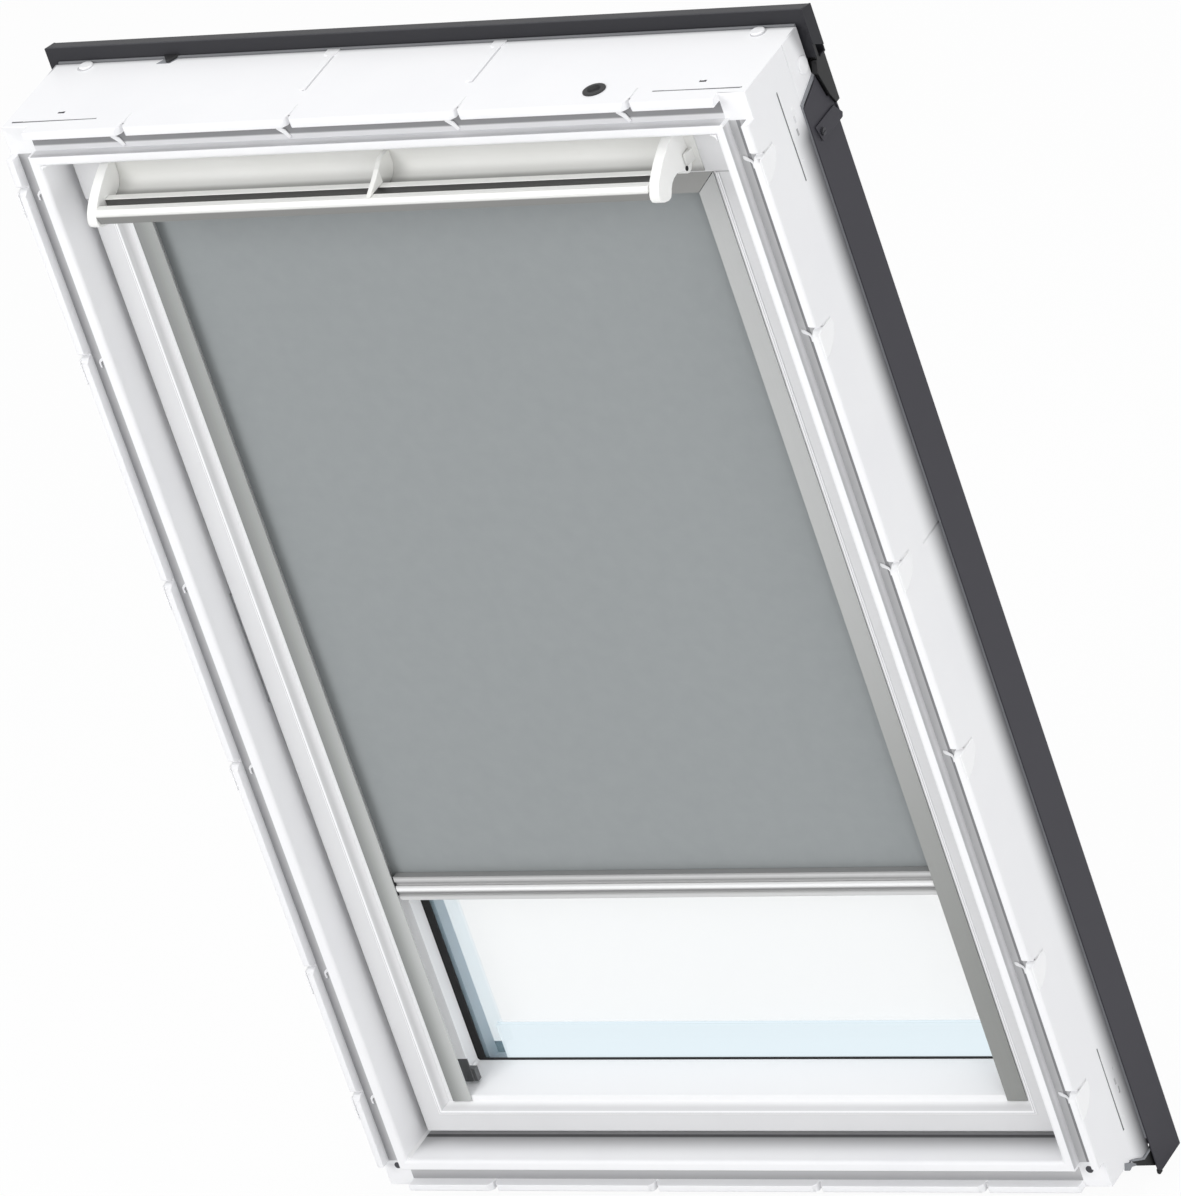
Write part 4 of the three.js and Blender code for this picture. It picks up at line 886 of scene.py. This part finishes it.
# Plates of the bearings, and the rubbers between the frame and its covers; a plate pairs with a left twin
fittings = {
    "bearing_seat_right": {
        "across": "y", "low": 0.0203, "high": 0.0216, "rim": 0.0004,
        "body": "sash", "finish": "white_trim", "slot": "white_trim",
        "outline": boxOutline((0.286, 1.088), (0.3098, 1.131)),
    },
    "pin_eye_right": {
        "across": "x", "low": 0.2998, "high": 0.3005, "rim": 0.0002,
        "body": "vent_flap", "finish": "black_plastic", "slot": "black_plastic",
        "outline": roundOutline((0.0093, 1.0978), 0.0025, 24),
    },
    "side_rubber_right": {
        "across": "x", "low": 0.3899, "high": 0.3922, "rim": 0.0004, "finish": "grey_seal", "slot": "grey_seal",
        "outline": [
            (0.0772, 0.0), (0.0802, 0.0), (0.0802, 1.1156), (0.1122, 1.1268), (0.1122, 1.1302), (0.1092, 1.1291),
            (0.0772, 1.1171),
        ],
    },
    "hood_rubber": {
        "across": "x", "low": -0.388, "high": 0.388, "rim": 0.0003, "finish": "soft_seal", "slot": "grey_seal",
        "paired": False,
        "outline": [(0.1122, 1.1765), (0.1148, 1.1765), (0.1148, 1.1795), (0.1136, 1.1799), (0.1124, 1.1791)],
    },
    "foot_ledge_right": {
        "across": "x", "low": 0.376, "high": 0.39, "rim": 0.0005, "finish": "white_frame", "slot": "white_frame",
        "outline": [(0.042, 0.0004), (0.08, 0.0004), (0.0795, -0.0115), (0.0636, -0.012), (0.0525, -0.005)],
    },
    "foot_strip_right": {
        "across": "x", "low": 0.3893, "high": 0.3915, "rim": 0.0004, "finish": "grey_seal", "slot": "grey_seal",
        "outline": [
            (0.0405, 0.0012), (0.0425, 0.0001), (0.0526, -0.0051), (0.0637, -0.0121), (0.0796, -0.0116),
            (0.0815, -0.0102), (0.0822, -0.0128), (0.0802, -0.0142), (0.064, -0.0145), (0.0517, -0.0074),
            (0.0412, -0.0008),
        ],
    },
    "foot_curl_right": {
        "across": "x", "low": 0.3896, "high": 0.3914, "rim": 0.0005, "finish": "grey_seal", "slot": "grey_seal",
        "outline": [
            (0.0315, 0.0045), (0.0278, -0.0016), (0.0349, -0.0066), (0.0402, -0.0060), (0.0472, -0.0096),
            (0.0486, -0.0082), (0.0416, -0.0016), (0.0362, 0.0014),
        ],
    },
    "foot_rubber_right": {
        "across": "x", "low": 0.3886, "high": 0.3905, "rim": 0.0004, "finish": "black_seal", "slot": "black_seal",
        "outline": [
            (0.0446, -0.0026), (0.0517, -0.0074), (0.064, -0.0145), (0.083, -0.0143), (0.083, -0.0345),
            (0.0513, -0.0125),
        ],
    },
    "cover_tip_right": {
        "across": "x", "low": 0.3918, "high": 0.3941, "rim": 0.0006, "finish": "black_seal", "slot": "black_seal",
        "outline": [
            (0.0761, -0.0340), (0.0756, -0.0385), (0.0786, -0.0424), (0.0825, -0.0424), (0.0838, -0.0404),
            (0.0800, -0.0378),
        ],
    },
}
for name, plate in fittings.items():
    addPlates(name, plate)
print("bearings and rubbers made")


# Small mouldings on the frame's outside and in its lining groove, most of them at the slots between the tabs

slotHeights = [1.1167, 0.9365, 0.6891, 0.4877, 0.2556, 0.1107]
slotSpots = [(0, 0, height) for height in slotHeights]
headSpots = [(-0.2575, 0, 0), (-0.0805, 0, 0), (0.0965, 0, 0), (0.2735, 0, 0)]
dotSpots = [(0, 0.0645, 1.1217), (0, 0.0546, 1.0752), (0, 0.0645, 0.0880), (0, 0.0546, 0.0405)]
white = {"finish": "white_frame", "slot": "white_frame"}
# Fillets, lobes and bends take the brighter white: painted highlight
filled = {"finish": "fillet_white", "slot": "white_frame"}
shaded = {"across": "z", "low": 1.1777, "high": 1.1781, "rim": 0.0001, "steps": 1, "finish": "shade_white",
          "slot": "white_frame"}
hook = {"across": "y", "low": -0.0019, "high": 0.0003, "rim": 0.0005, **white}


# The outline of a small rounded corner that is sunk a little into both of its walls
def filletOutline(half, foot, size, sink=0.0003):
    return [
        (half + sink, foot - sink), (half - size, foot - sink), (half - size * 0.45, foot + size * 0.15),
        (half - size * 0.15, foot + size * 0.45), (half + sink, foot + size),
    ]


def bendOutline(side, head, radius, steps=6):
    turns = [math.pi / 2 * step / steps for step in range(steps + 1)]
    return [(side, head)] + [
        (side - radius * (1 - math.cos(turn)), head - radius * (1 - math.sin(turn))) for turn in turns
    ]


mouldings = {
    "slot_lobe_1_right": {
        "across": "x", "low": 0.3898, "high": 0.3909, "rim": 0.0009, "steps": 3, **filled,
        "outline": outlineAt((0, slotHeights[0]), [
            (-12, -2), (-2, -1), (14, -0.5), (16.5, -3), (16, -9), (12, -16), (5, -22), (-2, -26), (-12, -28),
        ]),
        "more": copiesAt("slot_lobe_%d_right", slotSpots),
    },
    "head_rib_left": {
        "across": "z", "low": 1.1776, "high": 1.1792, "rim": 0.0005, "paired": False, **white,
        "outline": [
            (-0.0921, 0.042), (-0.0860, 0.042), (-0.0860, 0.101), (-0.0840, 0.104), (-0.0840, 0.1136),
            (-0.0975, 0.1136), (-0.0975, 0.104), (-0.0921, 0.101),
        ],
        "more": {"head_rib_right": (0.1758, 0, 0)},
    },
    "rib_shade_left": {
        "outline": boxOutline((-0.0862, 0.0418), (-0.0848, 0.1015)), "paired": False, **shaded,
        "more": {"rib_shade_right": (0.1758, 0, 0)},
    },
    "boss_shade_right": {"outline": roundOutline((0.3548, 0.1046), 0.0077), **shaded},
    "head_boss_right": {
        "across": "z", "low": 1.1776, "high": 1.1802, "rim": 0.0012, "steps": 4, **white,
        "outline": roundOutline((0.354, 0.1055), 0.0068),
    },
    "side_boss_right": {
        "across": "x", "low": 0.3896, "high": 0.3918, "rim": 0.0012, "steps": 4, **white,
        "outline": roundOutline((0.1015, 1.1446), 0.0085),
    },
    "side_dot_1_right": {
        "across": "x", "low": 0.3897, "high": 0.3907, "rim": 0.0003, **white,
        "outline": roundOutline(dotSpots[0][1:], 0.0017, 16), "more": copiesAt("side_dot_%d_right", dotSpots),
    },
    # Grey sheets on the outer face: painted shade of two square socket holes
    "upper_socket_right": {
        "across": "x", "low": 0.3898, "high": 0.3903, "rim": 0.0001, "steps": 1,
        "finish": "socket_grey", "slot": "grey_seal",
        "outline": boxOutline((0.059, 1.0966), (0.0616, 1.1034)), "more": {"lower_socket_right": (0, 0, -1.0235)},
    },
    "groove_hook_1_right": {
        "outline": outlineAt((0, slotHeights[0]), [
            (367.5, -2.7), (370.7, -3.8), (375.2, -7.3), (376.6, -9.6), (376.6, -15.3), (374.5, -16.0),
            (374.8, -10.9), (373.2, -9.1), (368.2, -7.0), (367.1, -4.8),
        ]),
        "more": copiesAt("groove_hook_%d_right", slotSpots), **hook,
    },
    "head_hook_1": {
        "outline": outlineAt((headSpots[0][0], 0), [
            (-18.3, 1167.2), (-9.7, 1162.8), (-5.7, 1155.6), (-8.4, 1153.4), (-11.8, 1158.0), (-18.8, 1163.6),
        ]),
        "more": copiesAt("head_hook_%d", headSpots), "paired": False, **hook,
    },
    # Plugs of the corner screws, on the room side: the two aren't alike
    "corner_plug_right": {
        "across": "y", "low": -0.0005, "high": 0.0004, "rim": 0.0002, "paired": False,
        "finish": "dark_screw", "slot": "black_plastic", "outline": roundOutline((0.3722, 0.0198), 0.0038),
    },
    "corner_plug_left": {
        "across": "y", "low": -0.0005, "high": 0.0004, "rim": 0.0002, "paired": False,
        "finish": "dark_screw", "slot": "black_plastic", "outline": roundOutline((-0.3746, 0.0225), 0.0034),
    },
    # Notch under the hood's edge: a dark tongue on a grey sheet of painted shadow
    "notch_seat": {
        "across": "z", "low": 1.1777, "high": 1.1784, "rim": 0.0002, "paired": False,
        "finish": "grey_seal", "slot": "grey_seal",
        "outline": [(-0.2770, 0.1034), (-0.2625, 0.1034), (-0.2545, 0.1146), (-0.2700, 0.1146)],
    },
    "notch_tongue": {
        "across": "z", "low": 1.1777, "high": 1.1812, "rim": 0.0003, "paired": False,
        "finish": "black_plastic", "slot": "black_plastic",
        "outline": [(-0.2662, 0.1040), (-0.2632, 0.1040), (-0.2570, 0.1147), (-0.2735, 0.1147)],
    },
    # Fillets in the corners of the frame's and the sash's reveals, and the frame's bent head corners, painted
    # brighter as painted highlight
    "frame_fillet_right": {
        "across": "y", "low": -0.0085, "high": 0.04, "rim": 0.0001, "steps": 1, **filled,
        "outline": filletOutline(0.354, 0.036, 0.0028),
    },
    "sash_fillet_right": {
        "across": "y", "low": 0.0565, "high": 0.0775, "rim": 0.0001, "steps": 1, "body": "sash", **filled,
        "outline": filletOutline(0.2995, 0.0905, 0.0022),
    },
    "head_bend_right": {
        "across": "y", "low": -0.012, "high": 0.004, "rim": 0.0001, "steps": 1, **filled,
        "outline": bendOutline(0.3541, 1.1421, 0.006),
    },
}
for name, plate in mouldings.items():
    addPlates(name, plate)
print("mouldings made")


# Floor, light and camera

studio = {"floorHeight": -0.0405, "floorSize": 40.0, "floorGlow": 0.95, "skyLight": 0.46}
lamps = {
    "keyLamp": {"place": (-2.2, -4.2, 3.6), "aim": (0, 0, 0.6), "size": 3.0, "power": 126.0},
    "fillLamp": {"place": (4.5, -2.5, 1.8), "aim": (0, 0, 0.6), "size": 3.0, "power": 76.0},
    "topLamp": {"place": (0.6, 0.4, 4.6), "aim": (0, 0, 0.9), "size": 3.0, "power": 57.0},
}

# Where the photograph was taken from, in metres, and how the camera was turned, in degrees about x, y and z
view = {
    "place": (5.77813, -8.16517, 5.83499), "turned": (61.174282, 17.069234, 25.851609),
    "sensor": 36.0, "lens": 371.42, "nearest": 0.1, "farthest": 120.0,
}


def makeFloor():
    clearSelection()
    bpy.ops.mesh.primitive_plane_add(size=studio["floorSize"], location=(0, 0, studio["floorHeight"]))
    floor = bpy.context.object
    floor.name = "studio_floor"
    bpy.ops.object.transform_apply(location=True, rotation=True, scale=True)
    made, shop = finishNamed("paleFloor")
    seen = shop.node("ShaderNodeLightPath", out="Is Camera Ray")
    paper = shop.node("ShaderNodeBsdfPrincipled", None, {
        "Base Color": shop.mix(shop.noise(3.0), tone(247, 247, 247), tone(250, 250, 250)), "Roughness": 0.9,
        "Specular IOR Level": 0.0,
    })
    glow = shop.node("ShaderNodeEmission", None, {"Color": (1, 1, 1, 1), "Strength": 1.0})
    both = shop.node("ShaderNodeMixShader", None, {0: seen * studio["floorGlow"], 1: paper, 2: glow})
    shop.node("ShaderNodeOutputMaterial", None, {"Surface": both})
    paintPiece(floor, made)


def makeSky():
    world = bpy.data.worlds.new("studioSky")
    bpy.context.scene.world = world
    world.use_nodes = True
    shop = Shop(world.node_tree)
    rays = shop.node("ShaderNodeLightPath").socket.node.outputs
    direct = Wire(shop, rays["Is Camera Ray"]) + Wire(shop, rays["Is Glossy Ray"])
    seen = (direct + Wire(shop, rays["Is Transmission Ray"])).least(1.0)
    soft = shop.node("ShaderNodeBackground", None, {"Color": tone(252, 253, 255), "Strength": studio["skyLight"]})
    white = shop.node("ShaderNodeBackground", None, {"Color": (1, 1, 1, 1), "Strength": 1.0})
    both = shop.node("ShaderNodeMixShader", None, {0: seen, 1: soft, 2: white})
    shop.node("ShaderNodeOutputWorld", None, {"Surface": both})


def addLamp(name, lamp):
    clearSelection()
    bpy.ops.object.light_add(type="AREA", location=lamp["place"])
    made = bpy.context.object
    made.name = name
    made.data.shape = "RECTANGLE"
    made.data.size = made.data.size_y = lamp["size"]
    made.data.energy = lamp["power"]
    made.rotation_mode = "QUATERNION"
    made.rotation_quaternion = (Vector(lamp["aim"]) - Vector(lamp["place"])).to_track_quat("-Z", "Y")


def makeCamera():
    clearSelection()
    turned = [math.radians(angle) for angle in view["turned"]]
    bpy.ops.object.camera_add(location=view["place"], rotation=turned)
    camera = bpy.context.object
    camera.name = "photographCamera"
    camera.data.sensor_width = view["sensor"]
    camera.data.lens = view["lens"]
    camera.data.clip_start = view["nearest"]
    camera.data.clip_end = view["farthest"]
    bpy.context.scene.camera = camera


makeFloor()
makeSky()
for name, lamp in lamps.items():
    addLamp(name, lamp)
makeCamera()
bpy.context.scene.view_settings.view_transform = "Standard"
print("studio ready")
